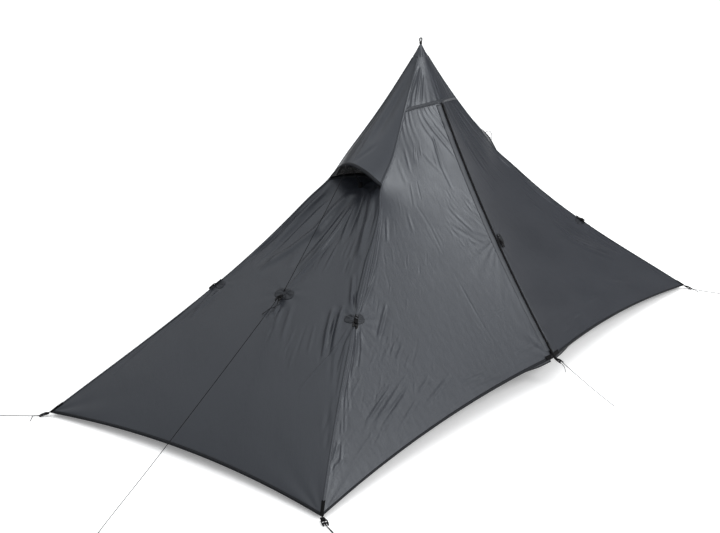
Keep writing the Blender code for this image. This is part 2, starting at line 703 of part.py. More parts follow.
def make_cords(frames):
    low = CORD_R + GROUND_CLEAR
    guyline("rear_left_guyline", frames["rear_left_corner"],
            [(-1.476, 0.631, low), (-1.464, 0.640, low), (-1.450, 0.651, low),
             (-1.437, 0.660, low)], Vector((-1.541, 0.800, CORD_R)))
    guyline("front_left_guyline", frames["front_left_corner"],
            [(-1.449, -0.702, low), (-1.440, -0.690, low), (-1.431, -0.675, low),
             (-1.424, -0.660, low)], Vector((-1.480, -0.764, CORD_R)))
    guyline("front_right_guyline", frames["front_right_corner"],
            [(1.380, -0.698, low), (1.388, -0.687, low), (1.398, -0.673, low),
             (1.405, -0.658, low)], Vector((1.436, -0.860, CORD_R)))
    guyline("door_guyline", frames["door_stake"],
            [(0.001, -0.7035, 0.046), (0.004, -0.700, 0.056), (0.004, -0.6965, 0.064),
             (0.001, -0.692, 0.0725)], DOOR_PEG, looped=False)
    guyline("left_end_guyline", frames["left_end"],
            [(-0.9225, 0.026, 0.3800), (-0.911, 0.019, 0.3890), (-0.899, 0.010, 0.3985),
             (-0.887, -0.009, 0.4085)], END_PEG, sag=0.006)
    rim = Vector((-HOOD_RIM.x - 0.0025, 0.0, HOOD_RIM.z - 0.002))
    tie = END_TIE + Vector((0.0085, 0.0, 0.0105))
    line = [mix(rim, tie, f) - Vector((0, 0, 4 * f * (1 - f) * 0.004))
            for f in (0.0, 0.15, 0.3, 0.45, 0.6, 0.75, 0.9, 1.0)]
    tube_object("hood_line", smooth_route(line), CORD_R, DARK)
    loop = [(0.4570, -0.040, 0.8225), (0.470, -0.042, 0.8270), (0.484, -0.045, 0.8230),
            (0.492, -0.048, 0.8120), (0.493, -0.050, 0.7980), (0.486, -0.052, 0.7880),
            (0.478, -0.051, 0.7920), (0.475, -0.049, 0.8020)]
    tube_object("right_hood_loop", smooth_route(loop), CORD_R, (0.2, 0.2, 0.2))


make_panels()
make_zip()
make_pole()
make_peak()
make_tie_outs()
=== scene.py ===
"""Looks of the single-pole pyramid shelter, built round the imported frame.  Metres, +Z up."""
import math

import bmesh
import bpy
import numpy as np
from mathutils import Matrix, Vector


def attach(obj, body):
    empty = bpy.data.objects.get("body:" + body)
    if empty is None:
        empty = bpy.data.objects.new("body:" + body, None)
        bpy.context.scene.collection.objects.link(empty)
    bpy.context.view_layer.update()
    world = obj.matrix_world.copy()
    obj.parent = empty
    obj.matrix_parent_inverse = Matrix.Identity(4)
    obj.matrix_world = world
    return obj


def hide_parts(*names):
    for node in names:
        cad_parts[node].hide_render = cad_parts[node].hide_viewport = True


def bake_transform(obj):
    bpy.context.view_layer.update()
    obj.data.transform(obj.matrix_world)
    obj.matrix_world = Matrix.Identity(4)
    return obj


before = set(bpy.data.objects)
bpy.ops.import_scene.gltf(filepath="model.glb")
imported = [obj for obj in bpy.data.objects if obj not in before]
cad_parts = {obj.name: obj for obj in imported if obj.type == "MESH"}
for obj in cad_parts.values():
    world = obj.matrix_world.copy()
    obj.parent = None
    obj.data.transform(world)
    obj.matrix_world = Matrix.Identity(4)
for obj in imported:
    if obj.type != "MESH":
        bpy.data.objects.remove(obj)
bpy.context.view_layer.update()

# ---- canopy, as in the CAD
LENGTH, WIDTH, HEIGHT = 2.80, 1.227, 1.237
CORNER_Z = 0.0139
RIDGE_SAG, RIDGE_SKEW, RIDGE_PLAN_BOW = 0.3615, 0.2069, 0.328
SIDE_OUT, SIDE_EASE = 0.652, 0.2
ZIP_TOP_Z, ZIP_FOOT_Z, ZIP_SAGITTA = 1.022, 0.0955, 0.025
SIDE_BOW, HEM_RISE = 0.034, 0.014
T_TOP, T_SEAM, T_VENT, T_TIE = 0.022, 0.129, 0.288, 0.597
SEAM_GAP, EDGE = 0.0007, 0.0013
END_T, END_IN, END_UP = (T_VENT, 0.6, 1.0), (0.028, -0.004, 0.048), (-0.026, 0.019, 0.018)
HOOD_PEAK, HOOD_PULL, HOOD_RIM = (np.array(p) for p in (
    (0.0, 0.0, 1.235), (0.15, 0.0, 1.03), (0.456, 0.0, 0.835)))
HOOD_START, HOOD_ROUND, MESH_TOP_T = 0.089, 1.6, 0.235
STRUT_FOOT = Vector((0.381, 0.0, 0.7455))
TAPE_IN, TAPE_OUT, PANEL_ZIP_EDGE, ZIP_BAND = 0.0006, 0.0115, 0.012, 0.0118
HINGE_TOP_X, HINGE_FOOT_X = -0.030, -1.030
FLAP_IN, FLAP_OUT, FLAP_FOOT, DOOR_TOP = 0.003, 0.030, 0.965, 0.135
WEB_WIDTH = 0.014
BAR = Vector((0.013, 0.0, 0.0046))
LOOP_R, SEWN, SEWN_SHORT, LOCK_HALF = 0.0029, 0.022, 0.0015, 0.0016
TAB_SLOPE = 21.6          # degrees that a corner's tab falls towards the ground
SIDE_TIE_X, SIDE_TIE_T = 0.0245, 0.527
END_TIE_T = 0.590
CORD_R, GROUND_CLEAR = 0.0011, 0.0003
TANGENT_STEP = 0.0008     # step in a panel's coordinates for its slopes

ENDS_BY_SIGN = ((-1, "left"), (1, "right"))
SIDES_BY_SIGN = ((-1, "front"), (1, "rear"))

# ---- looks
CLOTH = 0.0006            # thickness of the drawn cloth
BAND = 0.0008             # thickness of a sewn band
STITCH_OUT = 0.0042       # distance of a seam's stitches from its middle
SEAM_HALF = 0.0055        # half the width of a felled seam
HEM_BAND = 0.011          # width of the hem binding
HEM_END = 0.997           # where a hem's binding stops short of the corner
UP = (0.0, 0.0, 1.0)
RIM_TUG = np.array((0.012, -0.016, -0.006))   # the hood's rim draws the ridges in at its corners
RIM_TUG_REACH = 0.085
SILL_RISE = 0.030         # how far the end's cloth runs up under the hood, in t


# ------------------------------------------------------------------ shape of the canopy
def mix(a, b, f):
    return a + (b - a) * f


def smooth(x):
    x = np.clip(x, 0.0, 1.0)
    return x * x * (3 - 2 * x)


def vec(x, y, z):
    return np.stack(np.broadcast_arrays(x, y, z), axis=-1).astype(float)


def tugged(points):
    """Points of the canopy, drawn in beside the four ends of the hood rims."""
    out = points.copy()
    for sx in (-1, 1):
        for sy in (-1, 1):
            corner = bare_ridge(np.array(T_VENT), sx, sy)
            near = np.exp(-((points - corner) ** 2).sum(-1) / RIM_TUG_REACH ** 2)
            out += near[..., None] * RIM_TUG * (sx, sy, 1)
    return out


def bare_ridge(t, sx, sy):
    sag = t * (1 - t) * (RIDGE_SAG + RIDGE_SKEW * (1 - 2 * t))
    out = t - RIDGE_PLAN_BOW * t * (1 - t)
    return vec(sx * LENGTH / 2 * t, sy * WIDTH / 2 * out, CORNER_Z * t + HEIGHT * (1 - t - sag))


def ridge(t, sx, sy):
    return tugged(bare_ridge(t, sx, sy))


def side_out(t):
    return SIDE_OUT * (t + SIDE_EASE * t * (1 - t))


def zip_arc():
    top = Vector((side_out(T_SEAM), ZIP_TOP_Z))
    foot = Vector((side_out(1.0), ZIP_FOOT_Z))
    chord = (foot - top).length
    radius = chord ** 2 / (8 * ZIP_SAGITTA) + ZIP_SAGITTA / 2
    outward = Vector((top.y - foot.y, foot.x - top.x)).normalized()
    return (top + foot) / 2 + outward * (radius - ZIP_SAGITTA), radius


ARC_CENTRE, ARC_R = zip_arc()


def side_middle(t, sy):
    out = side_out(t)
    above = mix(HEIGHT, ZIP_TOP_Z, out / side_out(T_SEAM))
    below = ARC_CENTRE.y - np.sqrt(ARC_R ** 2 - (out - ARC_CENTRE.x) ** 2)
    return vec(0 * t, sy * out, np.where(t < T_SEAM, above, below))


def share_of(distance, t):
    return distance / (LENGTH / 2 * t)


def side_surface(t, a, sx, sy):
    band = share_of(ZIP_BAND, t)
    f = np.maximum(0.0, (a - band) / (1 - band))
    beside = vec(sx * LENGTH / 2 * t * np.minimum(a, band), 0 * t, 0 * t)
    point = mix(side_middle(t, sy) + beside, bare_ridge(t, sx, sy), f[..., None])
    bulge = 4 * f * (1 - f)
    point[..., 1] -= sy * SIDE_BOW * t * bulge
    point[..., 2] += HEM_RISE * t ** 8 * bulge
    return tugged(point)


def peak_surface(t, s, sy):
    edge, middle = bare_ridge(t, 1, sy), side_middle(t, sy)
    f = np.abs(s) ** HOOD_ROUND
    return vec(edge[..., 0] * s, mix(middle[..., 1], edge[..., 1], f),
               mix(middle[..., 2], edge[..., 2], f))


def through_three(t, values):
    total = 0.0
    for i, value in enumerate(values):
        term = value
        for j, other in enumerate(END_T):
            if j != i:
                term = term * (t - other) / (END_T[i] - other)
        total = total + term
    return total


def end_surface(t, s, sx):
    edge = bare_ridge(t, sx, 1)
    lift = 1 - s * s
    return tugged(vec(edge[..., 0] - sx * lift * through_three(t, END_IN), edge[..., 1] * s,
                      edge[..., 2] + lift * through_three(t, END_UP)))


def hood_surface(t, s, sx):
    b = mix(HOOD_START, 1.0, (t - T_TOP) / (T_VENT - T_TOP))[..., None]
    middle = HOOD_PEAK * (1 - b) ** 2 + HOOD_PULL * 2 * b * (1 - b) + HOOD_RIM * b * b
    edge = bare_ridge(t, sx, 1)
    f = 1 - np.abs(s) ** HOOD_ROUND
    return tugged(vec(edge[..., 0] + (sx * middle[..., 0] - edge[..., 0]) * f,
                      edge[..., 1] * s, mix(edge[..., 2], middle[..., 2], f)))


def hinge_share(t):
    x = mix(HINGE_TOP_X, HINGE_FOOT_X, (t - T_SEAM) / (1 - T_SEAM))
    return share_of(-x, t)


def steps(points, axis=0):
    """Distances between neighbours in a grid or a line of points."""
    return np.linalg.norm(np.diff(points, axis=axis), axis=-1)


def at(surface, t, a, *where):
    """One point of a surface as a Vector."""
    return Vector(surface(np.array(float(t)), np.array(float(a)), *where))


# ------------------------------------------------------------------ camera
def make_camera():
    azimuth, elevation, roll = (math.radians(d) for d in (-53.954, 17.544, 0.760))
    data = bpy.data.cameras.new("camera")
    data.sensor_width = 36.0
    data.lens = 61.44
    data.clip_end = 60.0
    camera = bpy.data.objects.new("camera", data)
    bpy.context.scene.collection.objects.link(camera)
    back = Vector((math.sin(azimuth) * math.cos(elevation),
                   -math.cos(azimuth) * math.cos(elevation), math.sin(elevation)))
    right = Vector((0, 0, 1)).cross(back).normalized()
    up = back.cross(right)
    turned_right = right * math.cos(roll) + up * math.sin(roll)
    turned_up = up * math.cos(roll) - right * math.sin(roll)
    facing = Matrix((turned_right, turned_up, back)).transposed().to_4x4()
    camera.matrix_world = Matrix.Translation((-3.9967, -2.6331, 1.8415)) @ facing
    bpy.context.scene.camera = camera


make_camera()


# ------------------------------------------------------------------ materials
WHITE = (1.0, 1.0, 1.0)


class Finish:
    """A Principled material whose colour, roughness and bump come from nodes."""

    def __init__(self, name, **sockets):
        self.material = bpy.data.materials.new(name)
        self.material.use_nodes = True
        self.tree = self.material.node_tree
        self.shader = self.tree.nodes["Principled BSDF"]
        for socket, value in sockets.items():
            self.shader.inputs[socket.replace("_", " ")].default_value = value

    def node(self, kind, links=(), **values):
        """A node with properties set by keyword; links gives its inputs by name or number."""
        made = self.tree.nodes.new("ShaderNode" + kind)
        for key, value in values.items():
            setattr(made, key, value)
        for key, value in dict(links).items():
            if isinstance(value, bpy.types.NodeSocket):
                self.tree.links.new(value, made.inputs[key])
            else:
                made.inputs[key].default_value = value
        return made

    def maths(self, operation, a, b=0.0, c=0.0):
        return self.node("Math", {0: a, 1: b, 2: c}, operation=operation).outputs[0]

    def uv(self):
        return self.node("UVMap", uv_map="UVMap").outputs[0]

    def place(self):
        return self.node("TexCoord").outputs["Object"]

    def scaled(self, vector, x, y, z=1.0):
        return self.node("Mapping", {"Vector": vector, "Scale": (x, y, z)}).outputs[0]

    def noise(self, vector, scale, detail=3.0, roughness=0.5):
        return self.node("TexNoise", {"Vector": vector, "Scale": scale, "Detail": detail,
                                      "Roughness": roughness}).outputs[0]

    def wave(self, vector, scale, direction, distortion=0.0):
        return self.node("TexWave", {"Vector": vector, "Scale": scale, "Distortion": distortion},
                         bands_direction=direction).outputs["Fac"]

    def spread(self, value, low, high, out_low=0.0, out_high=1.0):
        return self.node("MapRange", {0: value, 1: low, 2: high, 3: out_low, 4: out_high}
                         ).outputs[0]

    def ramp(self, value, *stops):
        made = self.node("ValToRGB", {0: value})
        elements = made.color_ramp.elements
        while len(elements) < len(stops):
            elements.new(0.5)
        for element, (place, colour) in zip(elements, stops):
            element.position = place
            element.color = (*colour, 1.0)
        return made.outputs[0]

    def shades(self, value, colour, *stops):
        """Ramp of shares of one colour."""
        return self.ramp(value, *((place, tone(colour, share)) for place, share in stops))

    def blend(self, kind, factor, a, b):
        return self.node("MixRGB", {0: factor, 1: a, 2: b}, blend_type=kind).outputs[0]

    def set(self, socket, value):
        self.tree.links.new(value, self.shader.inputs[socket])

    def bump(self, *heights):
        """Chains (height, strength, distance) into the shader's normal."""
        normal = None
        for height, strength, distance in heights:
            made = self.node("Bump", {"Height": height, "Strength": strength,
                                      "Distance": distance})
            if normal is not None:
                self.tree.links.new(normal, made.inputs["Normal"])
            normal = made.outputs[0]
        self.set("Normal", normal)


def tone(colour, share):
    return tuple(c * share for c in colour)


def cloth_finish(name, colour, roughness=0.37, grid=0.006, gloss=0.42):
    """Coated ripstop nylon: satin gloss, fine grid, soft blotches and storage creases."""
    finish = Finish(name, Sheen_Weight=0.03, Sheen_Roughness=0.4, Coat_Weight=0.05,
                    Coat_Roughness=0.30, Specular_IOR_Level=gloss,
                    Specular_Tint=(0.90, 0.95, 1.0, 1.0))
    uv = finish.uv()
    soft = finish.noise(uv, 2.2, 4.0, 0.55)
    grain = finish.noise(uv, 420.0, 2.0, 0.6)
    base = finish.shades(soft, colour, (0.30, 0.93), (0.52, 1.0), (0.74, 1.07))
    cells = finish.node("TexBrick", {
        "Vector": uv, "Scale": 1.0, "Mortar Size": 0.00045, "Mortar Smooth": 0.5, "Bias": 0.0,
        "Brick Width": grid, "Row Height": grid}, offset=0.0, squash=1.0)
    thread = cells.outputs["Fac"]
    threaded = finish.blend("MULTIPLY", finish.maths("MULTIPLY", thread, 0.16), base,
                            (0.55, 0.56, 0.58, 1.0))
    speckle = finish.shades(grain, WHITE, (0.25, 0.90), (0.75, 1.08))
    finish.set("Base Color", finish.blend("MULTIPLY", 0.8, threaded, speckle))
    patchy = finish.noise(uv, 5.0, 3.0, 0.6)
    finish.set("Roughness", finish.spread(patchy, 0.3, 0.7, roughness - 0.05, roughness + 0.06))
    warp = finish.wave(uv, 560.0, "X")
    weft = finish.wave(uv, 560.0, "Y")
    weave = finish.maths("ADD", warp, weft)
    rumple = finish.noise(finish.scaled(uv, 12.0, 5.0), 3.0, 6.0, 0.60)
    finish.bump((weave, 0.08, 0.0001), (thread, 0.15, 0.0002), (rumple, 0.38, 0.0022))
    return finish.material


def webbing_finish(name, colour):
    finish = Finish(name, Sheen_Weight=0.01, Sheen_Roughness=0.5, Specular_IOR_Level=0.06)
    uv = finish.uv()
    ribs = finish.wave(uv, 320.0, "Y", 0.6)
    cross = finish.wave(uv, 500.0, "X", 0.3)
    worn = finish.noise(uv, 160.0, 4.0, 0.6)
    base = finish.shades(worn, colour, (0.3, 0.75), (0.7, 1.5))
    ribbed = finish.shades(ribs, WHITE, (0.0, 0.5), (1.0, 1.2))
    finish.set("Base Color", finish.blend("MULTIPLY", 0.5, base, ribbed))
    finish.set("Roughness", finish.spread(worn, 0.3, 0.7, 0.62, 0.82))
    finish.bump((ribs, 0.5, 0.0004), (cross, 0.3, 0.0003))
    return finish.material


def plastic_finish(name, colour, roughness=0.42):
    finish = Finish(name, Specular_IOR_Level=0.12, Coat_Weight=0.01, Coat_Roughness=0.4)
    place = finish.place()
    grain = finish.noise(place, 2600.0, 2.0, 0.5)
    scuff = finish.noise(finish.scaled(place, 60.0, 420.0, 90.0), 3.0, 5.0, 0.65)
    finish.set("Base Color", finish.shades(scuff, colour, (0.42, 1.0), (0.62, 1.6), (0.80, 2.2)))
    finish.set("Roughness", finish.spread(scuff, 0.35, 0.75, roughness, roughness + 0.22))
    finish.bump((grain, 0.2, 0.0001), (scuff, 0.1, 0.0001))
    return finish.material


def metal_finish(name, colour, roughness=0.32, metallic=1.0):
    finish = Finish(name, Metallic=metallic)
    place = finish.place()
    drawn = finish.noise(finish.scaled(place, 900.0, 900.0, 6.0), 1.0, 3.0, 0.6)
    rubbed = finish.noise(place, 45.0, 4.0, 0.6)
    finish.set("Base Color", finish.shades(rubbed, colour, (0.30, 0.80), (0.70, 1.10)))
    finish.set("Roughness", finish.spread(drawn, 0.3, 0.7, roughness - 0.08, roughness + 0.12))
    finish.bump((drawn, 0.15, 0.0001))
    return finish.material


def cord_finish(name, colour, fleck, gloss=0.05):
    """Braided sheath: diagonal strands with a paler fleck."""
    finish = Finish(name, Sheen_Weight=0.02, Sheen_Roughness=0.5, Specular_IOR_Level=gloss)
    uv = finish.uv()
    one = finish.wave(finish.scaled(uv, 1.0, 0.9), 380.0, "DIAGONAL")
    two = finish.wave(finish.scaled(uv, -1.0, 0.9), 380.0, "DIAGONAL")
    braid = finish.maths("MAXIMUM", one, two)
    tracer = finish.spread(finish.noise(finish.scaled(uv, 300.0, 120.0), 1.0, 1.0), 0.60, 0.66)
    plain = finish.shades(braid, colour, (0.2, 0.6), (0.9, 1.3))
    finish.set("Base Color", finish.blend("MIX", finish.maths("MULTIPLY", tracer, 0.5), plain,
                                          (*fleck, 1.0)))
    finish.set("Roughness", finish.spread(braid, 0.0, 1.0, 0.85, 0.60))
    finish.bump((braid, 0.5, 0.0003))
    return finish.material


def mesh_finish(name, colour):
    """Insect mesh: open holes between fine threads."""
    finish = Finish(name, Roughness=0.7, Sheen_Weight=0.2, Sheen_Roughness=0.5)
    uv = finish.uv()
    holes = finish.node("TexBrick", {
        "Vector": uv, "Scale": 1.0, "Mortar Size": 0.00022, "Mortar Smooth": 0.2, "Bias": 0.0,
        "Brick Width": 0.0011, "Row Height": 0.0011}, offset=0.5, squash=1.0).outputs["Fac"]
    fine = finish.noise(uv, 300.0)
    finish.set("Base Color", finish.shades(fine, colour, (0.3, 0.7), (0.7, 1.4)))
    finish.set("Alpha", finish.spread(holes, 0.0, 1.0, 0.45, 1.0))
    finish.bump((holes, 0.4, 0.0002))
    return finish.material


def floor_finish(name):
    finish = Finish(name, Specular_IOR_Level=0.2, Emission_Color=(*WHITE, 1.0),
                    Emission_Strength=0.22)
    place = finish.place()
    cloud = finish.noise(place, 0.8, 3.0)
    finish.set("Base Color", finish.shades(cloud, WHITE, (0.3, 0.93), (0.7, 0.95)))
    finish.set("Roughness", finish.spread(cloud, 0.3, 0.7, 0.85, 0.95))
    return finish.material


SLATE = (0.0165, 0.0186, 0.0245)
BLACK = (0.0045, 0.0045, 0.0050)
FABRIC = cloth_finish("slate_ripstop", SLATE)
FABRIC_DARK = cloth_finish("slate_ripstop_binding", tone(SLATE, 0.30), 0.55, gloss=0.14)
PATCH = cloth_finish("reinforcement_patch", tone(SLATE, 0.60), 0.50, gloss=0.28)
FACING = cloth_finish("hem_facing", tone(SLATE, 0.80), 0.50)
WEBBING = webbing_finish("black_webbing", BLACK)
ZIP_TAPE = webbing_finish("black_zip_tape", tone(BLACK, 1.1))
COIL = plastic_finish("zip_coil_nylon", tone(BLACK, 0.9), 0.35)
PLASTIC = plastic_finish("black_acetal", tone(BLACK, 1.1))
RUBBER = plastic_finish("black_rubber", tone(BLACK, 1.6), 0.75)
ZIP_METAL = metal_finish("blackened_zinc", (0.014, 0.014, 0.015), 0.42, 0.6)
TUBE = metal_finish("drawn_aluminium", (0.62, 0.63, 0.65), 0.30)
CORD = cord_finish("dark_braid", (0.0060, 0.0062, 0.0070), (0.022, 0.022, 0.024))
GREY_CORD = cord_finish("grey_braid", (0.022, 0.022, 0.025), (0.07, 0.07, 0.075))
MESH = mesh_finish("insect_mesh", (0.005, 0.005, 0.0055))
THREAD = cord_finish("stitch_thread", (0.020, 0.022, 0.026), (0.04, 0.04, 0.045), 0.5)


# ------------------------------------------------------------------ mesh makers
def clean(mesh, distance=0.00001, fill=False, flatten=False, face_out=False):
    """Merge doubled vertices, or fill open ends; join coplanar faces or turn faces out."""
    bm = bmesh.new()
    bm.from_mesh(mesh)
    if fill:
        bmesh.ops.holes_fill(bm, edges=[e for e in bm.edges if e.is_boundary], sides=0)
    else:
        bmesh.ops.remove_doubles(bm, verts=bm.verts, dist=distance)
    if flatten:
        bmesh.ops.dissolve_limit(bm, angle_limit=0.01, verts=bm.verts, edges=bm.edges)
    if face_out:
        bmesh.ops.recalc_face_normals(bm, faces=bm.faces)
    bm.to_mesh(mesh)
    bm.free()


def link(name, data, material):
    made = bpy.data.objects.new(name, data)
    bpy.context.scene.collection.objects.link(made)
    data.materials.append(material)
    return made


def grid_object(name, points, uv, material, thickness=0.0, offset=-1.0, wrap=False):
    """Mesh object from a grid of points (rows, columns, 3) with UVs in metres."""
    rows, columns = points.shape[:2]
    number = np.arange(rows * columns).reshape(rows, columns)
    if wrap:
        number = np.concatenate([number, number[:, :1]], axis=1)
    faces = np.stack([number[:-1, :-1], number[:-1, 1:], number[1:, 1:], number[1:, :-1]], -1)
    faces = faces.reshape(-1, 4)
    mesh = bpy.data.meshes.new(name)
    mesh.from_pydata(points.reshape(-1, 3).tolist(), [], faces.tolist())
    layer = mesh.uv_layers.new(name="UVMap")
    layer.data.foreach_set("uv", uv.reshape(-1, 2)[faces.reshape(-1)].astype(np.float32).ravel())
    mesh.shade_smooth()
    made = link(name, mesh, material)
    if thickness:
        wall = made.modifiers.new("cloth thickness", "SOLIDIFY")
        wall.thickness = thickness
        wall.offset = offset
    return made


def metres_uv(points):
    """UVs in metres: along the rows from the first column, and down the first column."""
    across = steps(points, 1).cumsum(axis=1)
    across = np.concatenate([np.zeros((len(points), 1)), across], axis=1)
    middle = points[:, points.shape[1] // 2]
    down = np.concatenate([[0.0], steps(middle).cumsum()])
    return np.stack(np.broadcast_arrays(across, down[:, None]), axis=-1)


def smooth_route(points, step, most):
    """Points along a Catmull-Rom curve through the given points."""
    points = [Vector(p) for p in points]
    padded = [points[0] * 2 - points[1]] + points + [points[-1] * 2 - points[-2]]
    route = []
    for i in range(1, len(padded) - 2):
        p0, p1, p2, p3 = padded[i - 1:i + 3]
        k0 = (p1 - p0).length ** 0.5
        k1 = (p2 - p1).length ** 0.5
        k2 = (p3 - p2).length ** 0.5
        m1 = ((p1 - p0) / k0 - (p2 - p0) / (k0 + k1) + (p2 - p1) / k1) * k1
        m2 = ((p2 - p1) / k1 - (p3 - p1) / (k1 + k2) + (p3 - p2) / k2) * k1
        parts = min(most, max(1, math.ceil((p2 - p1).length / step)))
        for j in range(parts):
            f = j / parts
            route.append(p1 * (2 * f ** 3 - 3 * f ** 2 + 1) + m1 * (f ** 3 - 2 * f ** 2 + f)
                         + p2 * (3 * f ** 2 - 2 * f ** 3) + m2 * (f ** 3 - f ** 2))
    return route + [points[-1]]


def fine_route(points):
    return smooth_route(points, 0.003, 40)


def spaced(route, step):
    """A route's points again, evenly spaced."""
    route = np.array([tuple(p) for p in route])
    along = np.concatenate([[0.0], steps(route).cumsum()])
    count = max(2, int(round(along[-1] / step)) + 1)
    places = np.linspace(0.0, along[-1], count)
    return np.stack([np.interp(places, along, route[:, i]) for i in range(3)], -1), places


def tube(name, route, radius, material, step=0.0024, sides=10, relief=0.05, closed=False):
    """Braided mesh tube with rounded ends, or a closed ring."""
    line, places = spaced(list(route) + ([route[0]] if closed else []), step)
    if closed:
        line, places = line[:-1], places[:-1]
        ahead, behind = np.roll(line, -1, 0), np.roll(line, 1, 0)
    else:
        ahead = np.concatenate([line[1:], line[-1:] * 2 - line[-2:-1]])
        behind = np.concatenate([line[:1] * 2 - line[1:2], line[:-1]])
    heading = ahead - behind
    heading /= np.linalg.norm(heading, axis=1)[:, None]
    side = np.cross(heading[0], (0.3, 0.2, 0.9))
    sides_at = []
    for direction in heading:
        side = side - direction * side.dot(direction)
        side = side / np.linalg.norm(side)
        sides_at.append(side)
    side = np.array(sides_at)
    other = np.cross(heading, side)
    angle = np.arange(sides) * 2 * math.pi / sides
    turn = places[:, None] / (radius * 5.0) * 2 * math.pi
    strands = np.abs(np.sin(angle * 2 + turn)) * np.abs(np.sin(angle * 2 - turn))
    swell = radius * (1 + relief * (strands - 0.4))
    if not closed:
        swell[0] *= 0.55
        swell[-1] *= 0.55
    ring = side[:, None] * np.cos(angle)[:, None] + other[:, None] * np.sin(angle)[:, None]
    points = line[:, None] + ring * swell[..., None]
    if closed:
        points = np.concatenate([points, points[:1]])
        places = np.append(places, places[-1] + step)
    uv = np.stack(np.broadcast_arrays(angle * radius, places[:, None]), -1)
    made = grid_object(name, points, uv, material, wrap=True)
    clean(made.data, fill=not closed, face_out=True)
    made.data.shade_smooth()
    return made, line


def outline_object(name, loops, half_thickness, material, bevel=0.0004):
    """Flat plate from closed outlines in metres, with rounded edges."""
    curve = bpy.data.curves.new(name, "CURVE")
    curve.dimensions = "2D"
    curve.fill_mode = "BOTH"
    curve.extrude = half_thickness
    for loop in loops:
        spline = curve.splines.new("POLY")
        spline.points.add(len(loop) - 1)
        for point, (x, y) in zip(spline.points, loop):
            point.co = (x, y, 0.0, 1.0)
        spline.use_cyclic_u = True
    holder = bpy.data.objects.new(name, curve)
    bpy.context.scene.collection.objects.link(holder)
    graph = bpy.context.evaluated_depsgraph_get()
    mesh = bpy.data.meshes.new_from_object(holder.evaluated_get(graph))
    bpy.data.objects.remove(holder, do_unlink=True)
    clean(mesh, flatten=True)
    mesh.materials.clear()
    made = link(name, mesh, material)
    rounded = made.modifiers.new("rounded edges", "BEVEL")
    rounded.width = bevel
    rounded.segments = 3
    rounded.limit_method = "ANGLE"
    mesh.shade_smooth()
    return made


def rounded_outline(corners, radius, steps=4):
    """Closed outline with every corner rounded by up to the radius."""
    outline = []
    count = len(corners)
    for i, corner in enumerate(corners):
        here = Vector(corner)
        before, after = Vector(corners[i - 1]), Vector(corners[(i + 1) % count])
        cut = min(radius, (before - here).length / 2.2, (after - here).length / 2.2)
        start = here + (before - here).normalized() * cut
        stop = here + (after - here).normalized() * cut
        for j in range(steps + 1):
            f = j / steps
            outline.append(tuple(start * (1 - f) ** 2 + here * 2 * f * (1 - f) + stop * f * f))
    return outline


def keep(obj, body, slot, *nodes):
    """Ride on a body, or for the door keep the transform baked into the mesh, and hide the CAD
    nodes it stands for. The slot argument is not used.
    """
    if body == "door":
        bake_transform(obj)
    else:
        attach(obj, body)
    if nodes:
        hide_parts(*nodes)
    return obj


# ------------------------------------------------------------------ cords
def frame_matrix(origin, along, outward):
    x = Vector(along).normalized()
    y = Vector(outward).cross(x).normalized()
    z = x.cross(y)
    return Matrix.Translation(Vector(origin)) @ Matrix((x, y, z)).transposed().to_4x4()


def cad_ridge(t, sx, sy):
    return Vector(bare_ridge(np.array(float(t)), sx, sy))


def corner_frame(sx, sy, heading):
    level = Vector((*heading, 0.0)).normalized()
    slope = math.radians(TAB_SLOPE)
    down = level * math.cos(slope) - Vector((0, 0, math.sin(slope)))
    origin = cad_ridge(1.0, sx, sy) + level * 0.003 - Vector((0, 0, 0.0040))
    return frame_matrix(origin, down, (0, 0, 1))


def ridge_frame(sx, sy):
    here = cad_ridge(T_TIE, sx, sy)
    down = cad_ridge(T_TIE + 0.01, sx, sy) - here
    side = at(side_surface, T_TIE, 0.97, sx, sy) - here
    end = at(end_surface, T_TIE, 0.95 * sy, sx) - here
    return frame_matrix(here, down, -(side.normalized() + end.normalized()))


def door_side_frame():
    x, t = SIDE_TIE_X, SIDE_TIE_T
    here = at(side_surface, t, share_of(x, t), 1, -1)
    down = at(side_surface, t + 0.02, share_of(x, t + 0.02), 1, -1) - here
    across = at(side_surface, t, share_of(x, t) + 0.05, 1, -1) - here
    outward = down.cross(across).normalized()
    return frame_matrix(here + outward * 0.001, down, outward)


CORNERS = {
    "rear_left": (-1, 1, (-0.66, 0.75)),
    "front_left": (-1, -1, (-0.50, -0.86)),
    "front_right": (1, -1, (0.15, -0.99)),
    "rear_right": (1, 1, (0.66, 0.75)),
}
END_TIE = Vector((-0.8445, 0.0, 0.4345))
END_PEG = Vector((-1.868, -0.146, CORD_R))
DOOR_TIE = Vector((0.006, -0.6560, 0.0880))
DOOR_PEG = Vector((-0.082, -0.950, CORD_R))


def tie_out_frames():
    """Every tab's frame, the length of its sewn part and the body its lock rides on."""
    frames = {}
    for name, (sx, sy, heading) in CORNERS.items():
        corner_body = "rear_right_lock" if name == "rear_right" else "canopy"
        frames[name + "_corner"] = (corner_frame(sx, sy, heading), SEWN_SHORT, corner_body)
        frames[name + "_ridge"] = (ridge_frame(sx, sy), SEWN, name + "_ridge_lock")
    frames["door_stake"] = (frame_matrix(DOOR_TIE, DOOR_PEG - DOOR_TIE, (0, -0.2, 1)),
                            SEWN_SHORT, "canopy")
    frames["left_end"] = (frame_matrix(END_TIE, END_PEG - END_TIE, (-0.6, 0, 0.8)),
                          SEWN_SHORT, "canopy")
    frames["door_side"] = (door_side_frame(), SEWN, "side_lock")
    return frames


FRAMES = tie_out_frames()

# cord round the lock's cross bar, in the lock's own frame, from the tail to the taut run
WRAP = [(0.0125, -0.0033), (0.0095, -0.0033), (0.0076, -0.0030), (0.0066, -0.0023),
        (0.0061, -0.0009), (0.0061, 0.0009), (0.0066, 0.0023), (0.0076, 0.0030),
        (0.0095, 0.0033), (0.0125, 0.0033)]


